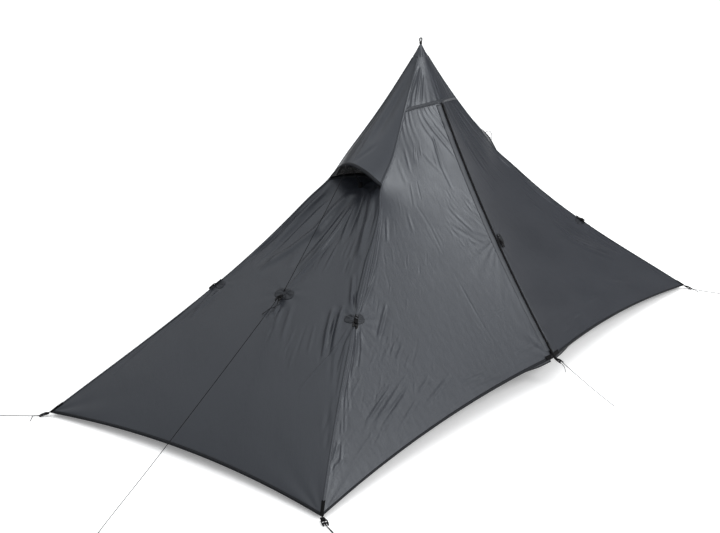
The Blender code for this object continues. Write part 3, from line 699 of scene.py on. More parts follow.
def above_ground(point):
    return Vector((point.x, point.y, max(point.z, CORD_R + GROUND_CLEAR)))


def peg_loop(end, heading):
    """Points of the loop that a cord's end makes round a peg."""
    along = Vector((heading.x, heading.y, 0.0)).normalized()
    side = Vector((-along.y, along.x, 0.0))
    shape = ((0.000, 0.0), (0.006, 0.0040), (0.015, 0.0072), (0.024, 0.0045), (0.027, -0.0015),
             (0.023, -0.0065), (0.013, -0.0070), (0.003, -0.0042), (-0.007, -0.0040))
    return [above_ground(Vector((end.x, end.y, 0.0)) + along * u + side * v) for u, v in shape]


def knot(name, place, along, material=CORD, turns=3, reach=0.0024):
    """Small barrel of cord wrapped round a strand or two."""
    frame_here = frame_matrix(place, along, (0.05, 0.02, 1.0))
    count = turns * 14
    wraps = []
    for i in range(count + 1):
        angle = i / 14 * 2 * math.pi
        spot = Vector((mix(-turns, turns, i / count) * CORD_R * 0.95,
                       reach * math.cos(angle), reach * 0.85 * math.sin(angle)))
        wraps.append(above_ground(frame_here @ spot))
    made = tube(name, wraps, CORD_R * 0.92, material, step=0.0009, sides=8)[0]
    return keep(made, "canopy", "guyline_cord")


def guyline(name, tab, tail, peg, sag=0.003, looped=True):
    """Cord from its tail, round the lock and taut to the peg loop or to a cut end."""
    lock = FRAMES[tab][0] @ Matrix.Translation(BAR)
    points = [above_ground(Vector(p)) for p in tail]
    points += [above_ground(lock @ Vector((u, 0.0, v))) for u, v in WRAP]
    start = lock @ Vector((0.022, 0.0, 0.0030))
    heading = peg - start
    for i in range(4):
        f = i / 4
        drop = Vector((0.0, 0.0, 4 * f * (1 - f) * sag))
        points.append(above_ground(mix(start, peg, f) - drop))
    points += peg_loop(peg, heading) if looped else [above_ground(peg)]
    made, line = tube(name + "_cord", fine_route(points), CORD_R, CORD)
    keep(made, "canopy", "guyline_cord", name)
    if looped:
        flat = Vector((heading.x, heading.y, 0.0)).normalized()
        place = Vector((peg.x, peg.y, 0.003)) - flat * 0.004
        knot(name + "_loop_knot", place, flat)


def make_cords():
    low = CORD_R + GROUND_CLEAR
    guyline("rear_left_guyline", "rear_left_corner",
            [(-1.476, 0.631, low), (-1.464, 0.640, low), (-1.450, 0.651, low),
             (-1.437, 0.660, low)], Vector((-1.541, 0.800, CORD_R)))
    guyline("front_left_guyline", "front_left_corner",
            [(-1.449, -0.702, low), (-1.440, -0.690, low), (-1.431, -0.675, low),
             (-1.424, -0.660, low)], Vector((-1.480, -0.764, CORD_R)))
    guyline("front_right_guyline", "front_right_corner",
            [(1.380, -0.698, low), (1.388, -0.687, low), (1.398, -0.673, low),
             (1.405, -0.658, low)], Vector((1.436, -0.860, CORD_R)))
    guyline("door_guyline", "door_stake",
            [(0.001, -0.7035, 0.046), (0.004, -0.700, 0.056), (0.004, -0.6965, 0.064),
             (0.001, -0.692, 0.0725)], DOOR_PEG, looped=False)
    guyline("left_end_guyline", "left_end",
            [(-0.9225, 0.026, 0.3800), (-0.911, 0.019, 0.3890), (-0.899, 0.010, 0.3985),
             (-0.887, -0.009, 0.4085)], END_PEG, sag=0.006)

    rim = Vector((-HOOD_RIM[0] - 0.0025, 0.0, HOOD_RIM[2] - 0.002))
    tie = END_TIE + Vector((0.0085, 0.0, 0.0105))
    line = [mix(rim, tie, f) - Vector((0, 0, 4 * f * (1 - f) * 0.004))
            for f in (0.0, 0.15, 0.3, 0.45, 0.6, 0.75, 0.9, 1.0)]
    made, path = tube("hood_line_cord", fine_route(line), CORD_R, CORD)
    keep(made, "canopy", "guyline_cord", "hood_line")
    upper = knot("hood_line_upper_knot", rim + Vector((-0.004, 0, -0.003)), tie - rim)
    lower = knot("hood_line_lower_knot", tie + Vector((0.006, 0, 0.005)), tie - rim)

    loop = [(0.4570, -0.040, 0.8225), (0.470, -0.042, 0.8270), (0.484, -0.045, 0.8230),
            (0.492, -0.048, 0.8120), (0.493, -0.050, 0.7980), (0.486, -0.052, 0.7880),
            (0.478, -0.051, 0.7920), (0.475, -0.049, 0.8020)]
    made, path = tube("right_hood_loop_cord", fine_route(loop), CORD_R, GREY_CORD)
    keep(made, "canopy", "grey_cord", "right_hood_loop")
    tied = knot("right_hood_loop_knot", (0.4765, -0.0500, 0.7970), (0.2, 0.1, -1.0), GREY_CORD, 2)


make_cords()


# ------------------------------------------------------------------ cloth with its wrinkles
class Panel:
    """A surface of the canopy with wrinkles, addressed by its own two coordinates."""

    def __init__(self, surface, centre):
        self.surface = surface
        self.features = []
        down, across = self.tangents(*(np.array(float(c)) for c in centre))[1:]
        self.e1 = across / np.linalg.norm(across)
        down = down - self.e1 * down.dot(self.e1)
        self.e2 = down / np.linalg.norm(down)

    def tangents(self, t, a, step=TANGENT_STEP):
        here = self.surface(t, a)
        return (here, self.surface(t + step, a) - self.surface(t - step, a),
                self.surface(t, a + step) - self.surface(t, a - step))

    def flat(self, points):
        return np.stack([points @ self.e1, points @ self.e2], -1)

    def spot(self, t, a):
        return self.flat(self.surface(np.array(float(t)), np.array(float(a))))

    def point(self, t, a, lift=0.0):
        t, a = np.broadcast_arrays(np.asarray(t, float), np.asarray(a, float))
        here, down, across = self.tangents(t, a)
        normal = np.cross(down, across)
        normal /= np.linalg.norm(normal, axis=-1)[..., None]
        normal *= np.sign((normal * vec(here[..., 0], here[..., 1], 0.15 + 0 * here[..., 0])
                           ).sum(-1))[..., None]
        flat = self.flat(here)
        height = lift
        for feature in self.features:
            height = height + feature(flat, t, a)
        return here + normal * np.asarray(height)[..., None]

    def crease(self, path, depth, width):
        """A soft fold along a path of (t, a); depth is its height, negative for a valley."""
        line = np.array([self.spot(t, a) for t, a in path])
        spans = steps(line)
        total = spans.sum()

        def feature(flat, t, a):
            best = np.full(flat.shape[:-1], 9.0)
            along = np.zeros(flat.shape[:-1])
            done = 0.0
            for start, stop, span in zip(line[:-1], line[1:], spans):
                step = (stop - start) / span
                f = np.clip((flat - start) @ step, 0.0, span)
                gap = np.linalg.norm(flat - start - f[..., None] * step, axis=-1)
                nearer = gap < best
                best = np.where(nearer, gap, best)
                along = np.where(nearer, (done + f) / total, along)
                done += span
            ends = np.clip(4 * along * (1 - along), 0.0, 1.0) ** 0.7
            ratio = best / width
            return depth * ends * (np.exp(-ratio ** 2) - 0.45 * np.exp(-(ratio / 2.3) ** 2))
        self.features.append(feature)

    def creases(self, folds, deeper=1.0, wider=1.0):
        for path, depth, width in folds:
            self.crease(path, depth * deeper, width * wider)

    def fan(self, centre, reach, height, rays, seed, inner=0.012):
        """Wrinkles that radiate from a point."""
        middle = self.spot(*centre)
        rng = np.random.default_rng(seed)
        waves = [(rays * rng.uniform(0.6, 1.5), rng.uniform(0, 2 * math.pi),
                  rng.uniform(0.5, 1.0)) for _ in range(4)]

        def feature(flat, t, a):
            away = flat - middle
            distance = np.linalg.norm(away, axis=-1)
            angle = np.mod(np.arctan2(away[..., 1], away[..., 0]), 2 * math.pi)
            total = sum(s * np.sin(n * angle + p) for n, p, s in waves) / 2.0
            near = smooth(distance / inner)
            return height * total * near * np.exp(-(distance / reach) ** 1.3)
        self.features.append(feature)

    def gathers(self, t_edge, reach, height, pitch, seed, shear=0.0, low=0.0):
        """Puckers across a seam at t_edge, fading with distance from it."""
        rng = np.random.default_rng(seed)
        waves = [(rng.uniform(0.7, 1.5) / pitch, rng.uniform(0, 2 * math.pi),
                  rng.uniform(0.5, 1.0), rng.uniform(0.6, 1.4)) for _ in range(5)]

        def feature(flat, t, a):
            down = np.abs(t - t_edge)
            total = 0.0
            for n, p, s, r in waves:
                total = total + s * np.sin(2 * math.pi * n * (a + shear * down) + p) * np.exp(
                    -down / (reach * r))
            window = smooth((a - low) / 0.05 + 0.5) * smooth((1 - a) / 0.05 + 0.5)
            return height * total / 2.2 * window * smooth(down / 0.004)
        self.features.append(feature)

    def billow(self, height, folds, seed, drift=0.6, t0=0.0, t1=1.0):
        """Long soft folds that run down the panel."""
        rng = np.random.default_rng(seed)
        waves = [(folds * rng.uniform(0.5, 1.6), rng.uniform(0, 2 * math.pi),
                  rng.uniform(-drift, drift), rng.uniform(0.4, 1.0)) for _ in range(5)]

        def feature(flat, t, a):
            total = 0.0
            for n, p, d, s in waves:
                total = total + s * np.sin(n * (a + d * t) * math.pi + p) * (
                    0.6 + 0.4 * np.sin(5 * t + 2 * p))
            return height * total / 2.0 * smooth((t - t0) / 0.12) * smooth((t1 - t) / 0.12)
        self.features.append(feature)

    def streaks(self, region, heading, count, length, depth, width, seed):
        """Short wrinkles at random in a region (t0, t1, a0, a1), along a direction (dt, da)."""
        rng = np.random.default_rng(seed)
        t0, t1, a0, a1 = region
        for _ in range(count):
            t, a = mix(t0, t1, rng.random()), mix(a0, a1, rng.random())
            far = rng.uniform(0.5, 1.2) * length
            turn = rng.uniform(-0.25, 0.25)
            stop = (t + far * heading[0], a + far * heading[1] * (1 + turn))
            self.crease([(t, a), stop], depth * rng.uniform(-1.0, 1.0), width)

    def quiet(self, edge):
        """Fade everything so far towards the panel's borders, by a function of (t, a)."""
        inner = list(self.features)
        self.features = [lambda flat, t, a: edge(t, a) * sum(f(flat, t, a) for f in inner)]


def cloth_sheet(name, panel, size, span, sides, nodes, body="canopy", rise=None):
    """The drawn cloth of a panel: t over span, and a from sides(t)[0] to sides(t)[1]."""
    rows, columns = size
    t = np.linspace(*span, rows)[:, None]
    low, high = sides(t)
    a = mix(low, high, np.linspace(0.0, 1.0, columns)[None, :])
    if rise:
        t = t - rise(a) * ((span[1] - t) / (span[1] - span[0])) ** 6
    t = np.broadcast_to(t, a.shape)
    plain = panel.surface(t, a)
    points = panel.point(t, a)
    normal = np.cross(points[1, 0] - points[0, 0], points[0, 1] - points[0, 0])
    if normal.dot(plain.mean((0, 1)) * (1, 1, 0)) > 0:
        points, plain = points[:, ::-1], plain[:, ::-1]
    made = grid_object(name, points, metres_uv(plain), FABRIC, CLOTH)
    keep(made, body, "canopy_fabric", *nodes)


def door_fold():
    """Start and end of the cloth's turn beside the door's hinge line."""
    hinge = at(side_surface, 0.56, hinge_share(0.56), -1, -1)
    top = at(side_surface, T_SEAM, hinge_share(T_SEAM), -1, -1)
    foot = at(side_surface, 1.0, hinge_share(1.0), -1, -1)
    along = (foot - top).normalized()
    inward = at(side_surface, 0.56, 0.0, -1, -1) - hinge
    inward = (inward - along * inward.dot(along)).normalized()
    return hinge - inward * 0.03, hinge + inward * 0.07


DOOR_FOLD = door_fold()


def ridge_inset(t, sy):
    return 1 - EDGE / np.linalg.norm(bare_ridge(t, 1, sy) - side_middle(t, sy), axis=-1)


def across_inset(t):
    return 1 - EDGE / np.abs(bare_ridge(t, 1, 1)[..., 1])


def sill_rise(s):
    """How much further an end's cloth runs up under its hood, in t."""
    return SILL_RISE * np.maximum(0.0, 1 - s * s) ** 0.8


# folds beside a ridge, above and below its tie-out: (path of (t, a), height, half width)
RIDGE_FOLDS = [
    ([(0.335, 0.990), (0.40, 0.972), (0.46, 0.955), (0.52, 0.964), (0.55, 0.972)], -0.0042, 0.0050),
    ([(0.40, 0.985), (0.48, 0.978), (0.575, 0.988)], 0.0030, 0.0040),
    ([(0.49, 0.965), (0.58, 0.984)], 0.0030, 0.0040),
    ([(0.50, 0.930), (0.575, 0.972)], -0.0026, 0.0040),
    ([(0.612, 0.985), (0.66, 0.960), (0.73, 0.955)], -0.0042, 0.0045),
    ([(0.615, 0.992), (0.70, 0.980), (0.78, 0.984)], 0.0034, 0.0040),
    ([(0.620, 0.965), (0.68, 0.935), (0.72, 0.930)], 0.0026, 0.0045),
]


def make_side_panels():
    """The four half sides, by (sx, sy)."""
    panels = {}
    for sy in (-1, 1):
        for sx in (-1, 1):
            panel = Panel(lambda t, a, sx=sx, sy=sy: side_surface(t, a, sx, sy), (0.6, 0.5))
            panels[sx, sy] = panel
            seed = 10 * (sx + 2) + sy + 2
            lean = 4.0 if sx * sy > 0 else -1.0
            panel.gathers(T_SEAM, 0.050, 0.0012, 0.13, seed, shear=lean, low=0.02)
            panel.gathers(T_SEAM, 0.035, 0.0007, 0.055, seed + 1, shear=lean, low=0.02)
            panel.billow(0.0014, 2.0, seed + 2, t0=0.15)
            panel.fan((T_TIE, 1.0), 0.060, 0.0016, 11, seed + 3)
            panel.creases(RIDGE_FOLDS)
            panel.fan((1.0, 1.0), 0.22, 0.0028, 16, seed + 4, inner=0.03)
            panel.fan((1.0, 0.0), 0.10, 0.0016, 12, seed + 5)
            panel.streaks((0.63, 0.93, 0.945, 0.99), (1.0, -0.20), 22, 0.05, 0.0026, 0.0045,
                          seed + 6)
    front_left_wrinkles(panels[-1, -1])
    front_right_wrinkles(panels[1, -1])
    for sx in (-1, 1):
        rear = panels[sx, 1]
        rear.streaks((0.62, 0.88, 0.35, 0.80), (1.0, 0.9), 16, 0.06, 0.0016, 0.007, 60 + sx)
        rear.creases([([(0.20, 0.80), (0.34, 0.55), (0.52, 0.40)], 0.0020, 0.011),
                      ([(0.30, 0.85), (0.45, 0.72)], -0.0018, 0.009)])
    for (sx, sy), panel in panels.items():
        panel.quiet(lambda t, a: smooth((1 - a) / 0.008) * smooth((a - 0.01) / 0.05))
    return panels


def front_left_wrinkles(panel):
    """Folds below the peak seam, beside the ridge and by the hem, and storage creases."""
    folds = [
        ([(0.140, 0.56), (0.19, 0.30), (0.27, 0.07)], -0.0030, 0.006),
        ([(0.136, 0.32), (0.17, 0.16), (0.21, 0.05)], -0.0026, 0.005),
        ([(0.145, 0.64), (0.21, 0.33), (0.28, 0.28), (0.35, 0.21)], -0.0026, 0.007),
        ([(0.138, 0.44), (0.18, 0.27), (0.23, 0.11)], 0.0024, 0.005),
        ([(0.212, 0.63), (0.273, 0.37), (0.303, 0.27)], -0.0018, 0.007),
        ([(0.212, 0.84), (0.275, 0.68)], -0.0022, 0.007),
        ([(0.237, 0.92), (0.300, 0.71)], -0.0024, 0.007),
        ([(0.331, 0.66), (0.43, 0.47), (0.516, 0.39)], 0.0012, 0.005),
        ([(0.370, 0.69), (0.43, 0.62)], -0.0016, 0.007),
        ([(0.367, 0.91), (0.427, 0.865)], -0.0030, 0.007),
        ([(0.383, 0.33), (0.466, 0.17)], 0.0013, 0.006),
        ([(0.41, 0.26), (0.48, 0.13)], -0.0022, 0.007),
        ([(0.44, 0.30), (0.50, 0.15), (0.525, 0.09)], 0.0018, 0.007),
        ([(0.593, 0.80), (0.670, 0.83)], -0.0052, 0.008),
        ([(0.519, 0.94), (0.548, 0.957)], -0.0024, 0.006),
        ([(0.721, 0.68), (0.751, 0.715)], -0.0026, 0.006),
        ([(0.70, 0.72), (0.735, 0.745)], -0.0018, 0.006),
        ([(0.878, 0.45), (0.920, 0.57)], -0.0024, 0.007),
        ([(0.850, 0.55), (0.873, 0.60)], -0.0022, 0.006),
        ([(0.831, 0.69), (0.882, 0.80)], -0.0034, 0.007),
        ([(0.845, 0.66), (0.90, 0.78)], 0.0028, 0.007),
        ([(0.82, 0.75), (0.87, 0.85)], -0.0028, 0.007),
        ([(0.911, 0.93), (0.926, 0.985)], -0.0028, 0.006),
        ([(0.869, 0.97), (0.905, 0.985)], -0.0024, 0.006),
        ([(0.570, 0.346), (0.744, 0.257), (0.875, 0.209)], 0.0011, 0.0045),
        ([(0.748, 0.249), (0.746, 0.080)], 0.0010, 0.0045),
    ]
    panel.creases(folds, 0.75, 0.85)
    panel.streaks((0.80, 0.92, 0.60, 0.90), (1.0, 2.0), 22, 0.04, 0.0015, 0.0045, 71)
    panel.streaks((0.64, 0.76, 0.60, 0.90), (1.0, 1.0), 14, 0.03, 0.0011, 0.0045, 72)
    panel.streaks((0.34, 0.52, 0.05, 0.34), (1.0, -1.6), 34, 0.04, 0.0010, 0.0038, 73)
    panel.streaks((0.18, 0.50, 0.25, 0.92), (1.0, -1.1), 46, 0.05, 0.0008, 0.0040, 74)
    panel.streaks((0.45, 0.90, 0.50, 0.95), (1.0, 0.1), 40, 0.04, 0.0006, 0.0040, 77)
    panel.streaks((0.90, 0.965, 0.10, 0.40), (0.15, -2.0), 8, 0.05, 0.0014, 0.006, 75)
    panel.fan((0.520, 0.0), 0.12, 0.0009, 13, 76, inner=0.05)


def front_right_wrinkles(panel):
    """Folds below the peak seam and by the ridge's tie-out."""
    folds = [
        ([(0.365, 0.94), (0.466, 0.935), (0.541, 0.96)], 0.0040, 0.008),
        ([(0.561, 0.756), (0.647, 0.77), (0.764, 0.88)], 0.0040, 0.011),
        ([(0.570, 0.811), (0.660, 0.865), (0.788, 0.937)], -0.0036, 0.010),
        ([(0.60, 0.70), (0.70, 0.76), (0.80, 0.86)], 0.0024, 0.012),
        ([(0.135, 0.20), (0.24, 0.34), (0.34, 0.40)], -0.0026, 0.009),
        ([(0.135, 0.42), (0.22, 0.50), (0.32, 0.56)], 0.0028, 0.008),
        ([(0.135, 0.60), (0.22, 0.66), (0.30, 0.70)], -0.0028, 0.007),
        ([(0.135, 0.78), (0.21, 0.82), (0.30, 0.86)], 0.0030, 0.007),
        ([(0.22, 0.90), (0.31, 0.91), (0.37, 0.90)], -0.0026, 0.006),
        ([(0.86, 0.62), (0.92, 0.76)], 0.0014, 0.010),
    ]
    panel.creases(folds, 1.6, 0.85)
    panel.streaks((0.14, 0.36, 0.15, 0.92), (1.0, 0.6), 34, 0.07, 0.0018, 0.0045, 83)
    panel.streaks((0.36, 0.60, 0.70, 0.94), (1.0, 0.4), 16, 0.07, 0.0024, 0.0050, 84)
    panel.streaks((0.88, 0.96, 0.08, 0.45), (0.10, 2.0), 10, 0.05, 0.0012, 0.007, 81)
    panel.fan((0.527, 0.018), 0.045, 0.0024, 13, 82, inner=0.010)


def mirrored(folds, turned):
    """Folds with their second coordinate changed by a function."""
    return [([(t, turned(s)) for t, s in path], depth, width) for path, depth, width in folds]


def make_end_panels():
    """The two ends, with folds that run down from the vent and out from the tie-outs."""
    panels = {}
    for sx in (-1, 1):
        panel = Panel(lambda t, s, sx=sx: end_surface(t, s, sx), (0.6, 0.0))
        panels[sx] = panel
        seed = 30 + sx
        m = 1 if sx < 0 else -1
        strength = 2.35 if sx < 0 else 1.6
        folds = [
            ([(0.308, 0.15), (0.355, 0.24), (0.416, 0.26), (0.477, 0.43), (0.540, 0.63)],
             0.0070, 0.018),
            ([(0.315, 0.05), (0.38, 0.10), (0.46, 0.12), (0.52, 0.16)], -0.0075, 0.020),
            ([(0.345, -0.150), (0.409, -0.139), (0.452, -0.109), (0.534, -0.018),
              (0.570, 0.005)], 0.0050, 0.008),
            ([(0.33, -0.05), (0.40, -0.04), (0.47, -0.02), (0.54, 0.03)], -0.0042, 0.010),
            ([(0.320, -0.215), (0.378, -0.275), (0.440, -0.356)], 0.0034, 0.009),
            ([(0.315, -0.28), (0.37, -0.36), (0.42, -0.44)], -0.0036, 0.009),
            ([(0.310, -0.36), (0.35, -0.46), (0.40, -0.55)], 0.0034, 0.009),
            ([(0.300, -0.62), (0.37, -0.72), (0.46, -0.80)], 0.0068, 0.016),
            ([(0.299, 0.86), (0.364, 0.81), (0.414, 0.82), (0.479, 0.79)], 0.0044, 0.010),
            ([(0.31, 0.62), (0.37, 0.66), (0.45, 0.68), (0.52, 0.70)], -0.0040, 0.012),
            ([(0.429, 0.94), (0.50, 0.95), (0.545, 0.92)], 0.0030, 0.009),
            ([(0.613, 0.85), (0.668, 0.85), (0.699, 0.826)], 0.0034, 0.009),
            ([(0.617, -0.018), (0.645, -0.040)], 0.0036, 0.007),
            ([(0.62, 0.03), (0.66, 0.03)], -0.0030, 0.007),
            ([(0.62, -0.08), (0.68, -0.13)], 0.0020, 0.008),
            ([(0.61, -0.18), (0.70, -0.28)], 0.0018, 0.010),
            ([(0.585, -0.679), (0.642, -0.713), (0.700, -0.746)], 0.0044, 0.010),
            ([(0.59, -0.74), (0.65, -0.77), (0.70, -0.80)], -0.0044, 0.009),
            ([(0.575, -0.80), (0.640, -0.81)], 0.0040, 0.008),
            ([(0.610, -0.97), (0.674, -0.85), (0.80, -0.62)], 0.0026, 0.0035),
            ([(0.535, -0.89), (0.578, -0.97)], -0.0034, 0.007),
            ([(0.50, -0.80), (0.57, -0.90)], 0.0028, 0.008),
        ]
        panel.creases(mirrored(folds, lambda s: s * m), strength, 0.95)
        for count, region, heading in ((16, (0.32, 0.50, -0.92, -0.55), (1.0, -0.35)),
                                       (10, (0.31, 0.45, -0.50, 0.20), (1.0, -0.3)),
                                       (12, (0.32, 0.50, 0.55, 0.92), (1.0, 0.1)),
                                       (12, (0.61, 0.72, -0.55, 0.10), (1.0, -0.6)),
                                       (12, (0.61, 0.72, -0.95, -0.60), (1.0, -0.2))):
            t0, t1, a0, a1 = region
            panel.streaks((t0, t1, a0 * m, a1 * m), (heading[0], heading[1] * m), count,
                          0.07, 0.0030, 0.0055, seed + 20 + count + int(10 * t0))
        panel.fan((T_VENT, 0.0), 0.22, 0.0040, 7, seed, inner=0.03)
        panel.fan((0.588, 0.0), 0.06, 0.0024, 9, seed + 1)
        for sy in (-1, 1):
            panel.fan((T_TIE, sy), 0.055, 0.0016, 11, seed + 5 * sy)
            panel.creases(mirrored(RIDGE_FOLDS, lambda a, sy=sy: (2 * a - 1) * sy), 1.2)
            panel.fan((1.0, sy), 0.20, 0.0026, 14, seed + 7 * sy, inner=0.03)
            panel.streaks((0.64, 0.90, 0.90 * sy, 0.97 * sy), (1.0, 0.05), 10, 0.06, 0.0034,
                          0.007, seed + 9 * sy)
        panel.billow(0.0022, 1.6, seed + 3)
        panel.quiet(lambda t, s: smooth((1 - np.abs(s)) / 0.016))
    return panels


def make_hood_panels():
    """The two hoods, with one deep fold each."""
    panels = {}
    for sx in (-1, 1):
        panel = Panel(lambda t, s, sx=sx: hood_surface(t, s, sx), (0.2, 0.0))
        panels[sx] = panel
        fold = -0.2 if sx < 0 else 0.2
        panel.creases([
            ([(0.04, fold * 0.5), (0.10, fold * 0.6), (0.16, fold * 0.8), (0.235, fold)],
             -0.0120, 0.019),
            ([(0.05, fold - 0.25 * sx), (0.14, fold - 0.30 * sx), (0.24, fold - 0.38 * sx)],
             0.0070, 0.016),
            ([(0.284, 0.0), (0.235, 0.10), (0.19, 0.16)], -0.0032, 0.007),
            ([(0.284, -0.03), (0.250, -0.26), (0.225, -0.42)], -0.0030, 0.007),
            ([(0.27, 0.55), (0.20, 0.62), (0.13, 0.60)], 0.0026, 0.010),
            ([(0.05, 0.3), (0.12, 0.45), (0.20, 0.75)], -0.0022, 0.008),
        ])
        panel.billow(0.0016, 2.0, 90 + sx)
        panel.fan((T_TOP, 0.0), 0.10, 0.0016, 9, 93 + sx, inner=0.02)
        panel.quiet(lambda t, s: smooth((1 - np.abs(s)) / 0.05) * smooth((T_VENT - t) / 0.004))
    return panels


def make_peak_panels():
    """The front and rear panels at the peak."""
    panels = {}
    for sy in (-1, 1):
        panel = Panel(lambda t, s, sy=sy: peak_surface(t, s, sy), (0.08, 0.0))
        panels[sy] = panel
        folds = [
            ([(0.045, -0.70), (0.072, -0.86), (0.098, -0.93), (0.124, -0.90)], -0.0040, 0.005),
            ([(0.060, -0.47), (0.106, -0.58), (0.126, -0.60)], -0.0028, 0.005),
            ([(0.050, -0.60), (0.09, -0.72), (0.126, -0.76)], 0.0026, 0.005),
            ([(0.055, 0.20), (0.084, 0.09), (0.124, 0.06)], -0.0018, 0.005),
            ([(0.060, 0.55), (0.09, 0.50), (0.126, 0.42)], -0.0020, 0.005),
            ([(0.060, 0.80), (0.09, 0.78), (0.126, 0.72)], 0.0022, 0.005),
        ]
        panel.creases(folds)
        panel.gathers(T_SEAM, 0.022, 0.0007, 0.17, 95 + sy, low=-1.0)
        panel.quiet(lambda t, s: smooth((1 - np.abs(s)) / 0.05) * smooth((t - T_TOP) / 0.02))
    return panels


SIDES = make_side_panels()
ENDS = make_end_panels()
HOODS = make_hood_panels()
PEAKS = make_peak_panels()


def make_canopy():
    """The drawn cloth of every panel."""
    start = T_SEAM + SEAM_GAP
    names = {(-1, -1): ("front_left_cloth", ["front_left_panel", "door_panel"], "door"),
             (1, -1): ("front_right_cloth", ["front_right_panel"], "canopy"),
             (-1, 1): ("rear_left_cloth", ["rear_left_panel"], "canopy"),
             (1, 1): ("rear_right_cloth", ["rear_right_panel"], "canopy")}
    for (sx, sy), (name, nodes, body) in names.items():
        inner = PANEL_ZIP_EDGE if sy < 0 else SEAM_GAP
        size = (190, 230) if sy < 0 else (150, 170)
        cloth_sheet(name, SIDES[sx, sy], size, (start, 1.0),
                    lambda t, sy=sy, inner=inner: (share_of(inner, t), ridge_inset(t, sy)),
                    nodes, body)
    for sx, end in ENDS_BY_SIGN:
        size = (190, 220) if sx < 0 else (150, 170)
        both = lambda t: (-across_inset(t), across_inset(t))
        cloth_sheet(end + "_end_cloth", ENDS[sx], size, (T_VENT + SEAM_GAP, 1.0), both,
                    [end + "_end_panel"], rise=sill_rise)
        cloth_sheet(end + "_hood_cloth", HOODS[sx], (100, 110), (T_TOP, T_VENT - SEAM_GAP), both,
                    [end + "_hood"])
        make_vent(sx, end)
    for sy, side in SIDES_BY_SIGN:
        cloth_sheet(side + "_peak_cloth", PEAKS[sy], (70, 150), (T_TOP, T_SEAM - SEAM_GAP),
                    lambda t, sy=sy: (-ridge_inset(t, sy), ridge_inset(t, sy)),
                    [side + "_peak_panel"])


def make_vent(sx, end):
    """Insect mesh behind the hood."""
    v, u = np.meshgrid(np.linspace(0, 1, 14), np.linspace(0, 1, 40), indexing="ij")
    s = mix(-0.92, 0.92, u)
    sill = T_VENT + SEAM_GAP - sill_rise(s)
    low = end_surface(sill, s, sx) + (-sx * 0.004, 0.0, -0.001)
    high = hood_surface(MESH_TOP_T + 0 * s, s * 0.95, sx) - (0.0, 0.0, 0.004)
    points = mix(low, high, v[..., None])
    made = grid_object(end + "_vent_netting", points, metres_uv(points), MESH, 0.0003)
    keep(made, "canopy", "vent_mesh", end + "_vent_mesh")


def make_strut_pockets():
    """Small webbing pocket on the end's cloth that holds the foot of the strut."""
    for sx, end in ENDS_BY_SIGN:
        v, u = np.meshgrid(np.linspace(0, 1, 12), np.linspace(-1, 1, 13), indexing="ij")
        away = np.array(STRUT_FOOT) * (sx, 1, 1)
        points = vec(away[0] + sx * (0.007 + 0.004 * np.sin(math.pi * v)) * np.cos(u * 1.2),
                     away[1] + 0.0095 * u, away[2] - 0.012 + 0.026 * v)
        pocket = grid_object(end + "_strut_pocket", points if sx > 0 else points[:, ::-1],
                             metres_uv(points), WEBBING, 0.0012, -1.0)
        keep(pocket, "canopy", "webbing")


make_canopy()
make_strut_pockets()


# ------------------------------------------------------------------ seams, hems and patches
def strip(name, sections, material, body="canopy", nodes=(), slot="canopy_fabric",
          thickness=BAND, offset=0.0):
    """Band of cloth through sections (rows, columns, 3), with thickness."""
    made = grid_object(name, sections, metres_uv(sections), material, thickness, offset)
    return keep(made, body, slot, *nodes)


def stitches(name, points, outward, spacing=0.0042, body="canopy", radius=0.00035):
    """A row of stitches along a line: short rounded beads, all in one object."""
    line, places = spaced(points, spacing)
    headings = np.gradient(line, axis=0)
    headings /= np.linalg.norm(headings, axis=1)[:, None]
    up = np.asarray(outward, float)
    up = np.broadcast_to(up, line.shape)
    side = np.cross(headings, up)
    side /= np.linalg.norm(side, axis=1)[:, None]
    half = spacing * 0.34
    corners = [(-half, 0.0, 0.0), (-half * 0.6, radius, 0.2), (half * 0.6, radius, 0.2),
               (half, 0.0, 0.0), (half * 0.6, -radius, 0.2), (-half * 0.6, -radius, 0.2),
               (-half * 0.6, 0.0, 1.0), (half * 0.6, 0.0, 1.0)]
    vertices = np.concatenate([
        line + headings * x + side * y + up * (z * radius * 1.6) for x, y, z in corners])
    count = len(line)
    shape = [(0, 1, 6), (1, 2, 7, 6), (2, 3, 7), (3, 4, 7), (4, 5, 6, 7), (5, 0, 6),
             (0, 5, 4, 3), (0, 3, 2, 1)]
    faces = [[corner * count + i for corner in face] for i in range(count) for face in shape]
    mesh = bpy.data.meshes.new(name)
    mesh.from_pydata(vertices.tolist(), [], faces)
    layer = mesh.uv_layers.new(name="UVMap")
    corner_of = np.zeros(len(mesh.loops), int)
    mesh.loops.foreach_get("vertex_index", corner_of)
    spread = np.stack([places[corner_of % count], corner_of // count * 0.0004], -1)
    layer.data.foreach_set("uv", spread.astype(np.float32).ravel())
    mesh.shade_smooth()
    keep(link(name, mesh, THREAD), body, "canopy_fabric")


def outward_of(points):
    """Rough outward directions at points of the canopy."""
    out = points.copy()
    out[:, 2] = 0.6 * np.linalg.norm(out[:, :2], axis=1) + 0.02
    return out / np.linalg.norm(out, axis=1)[:, None]


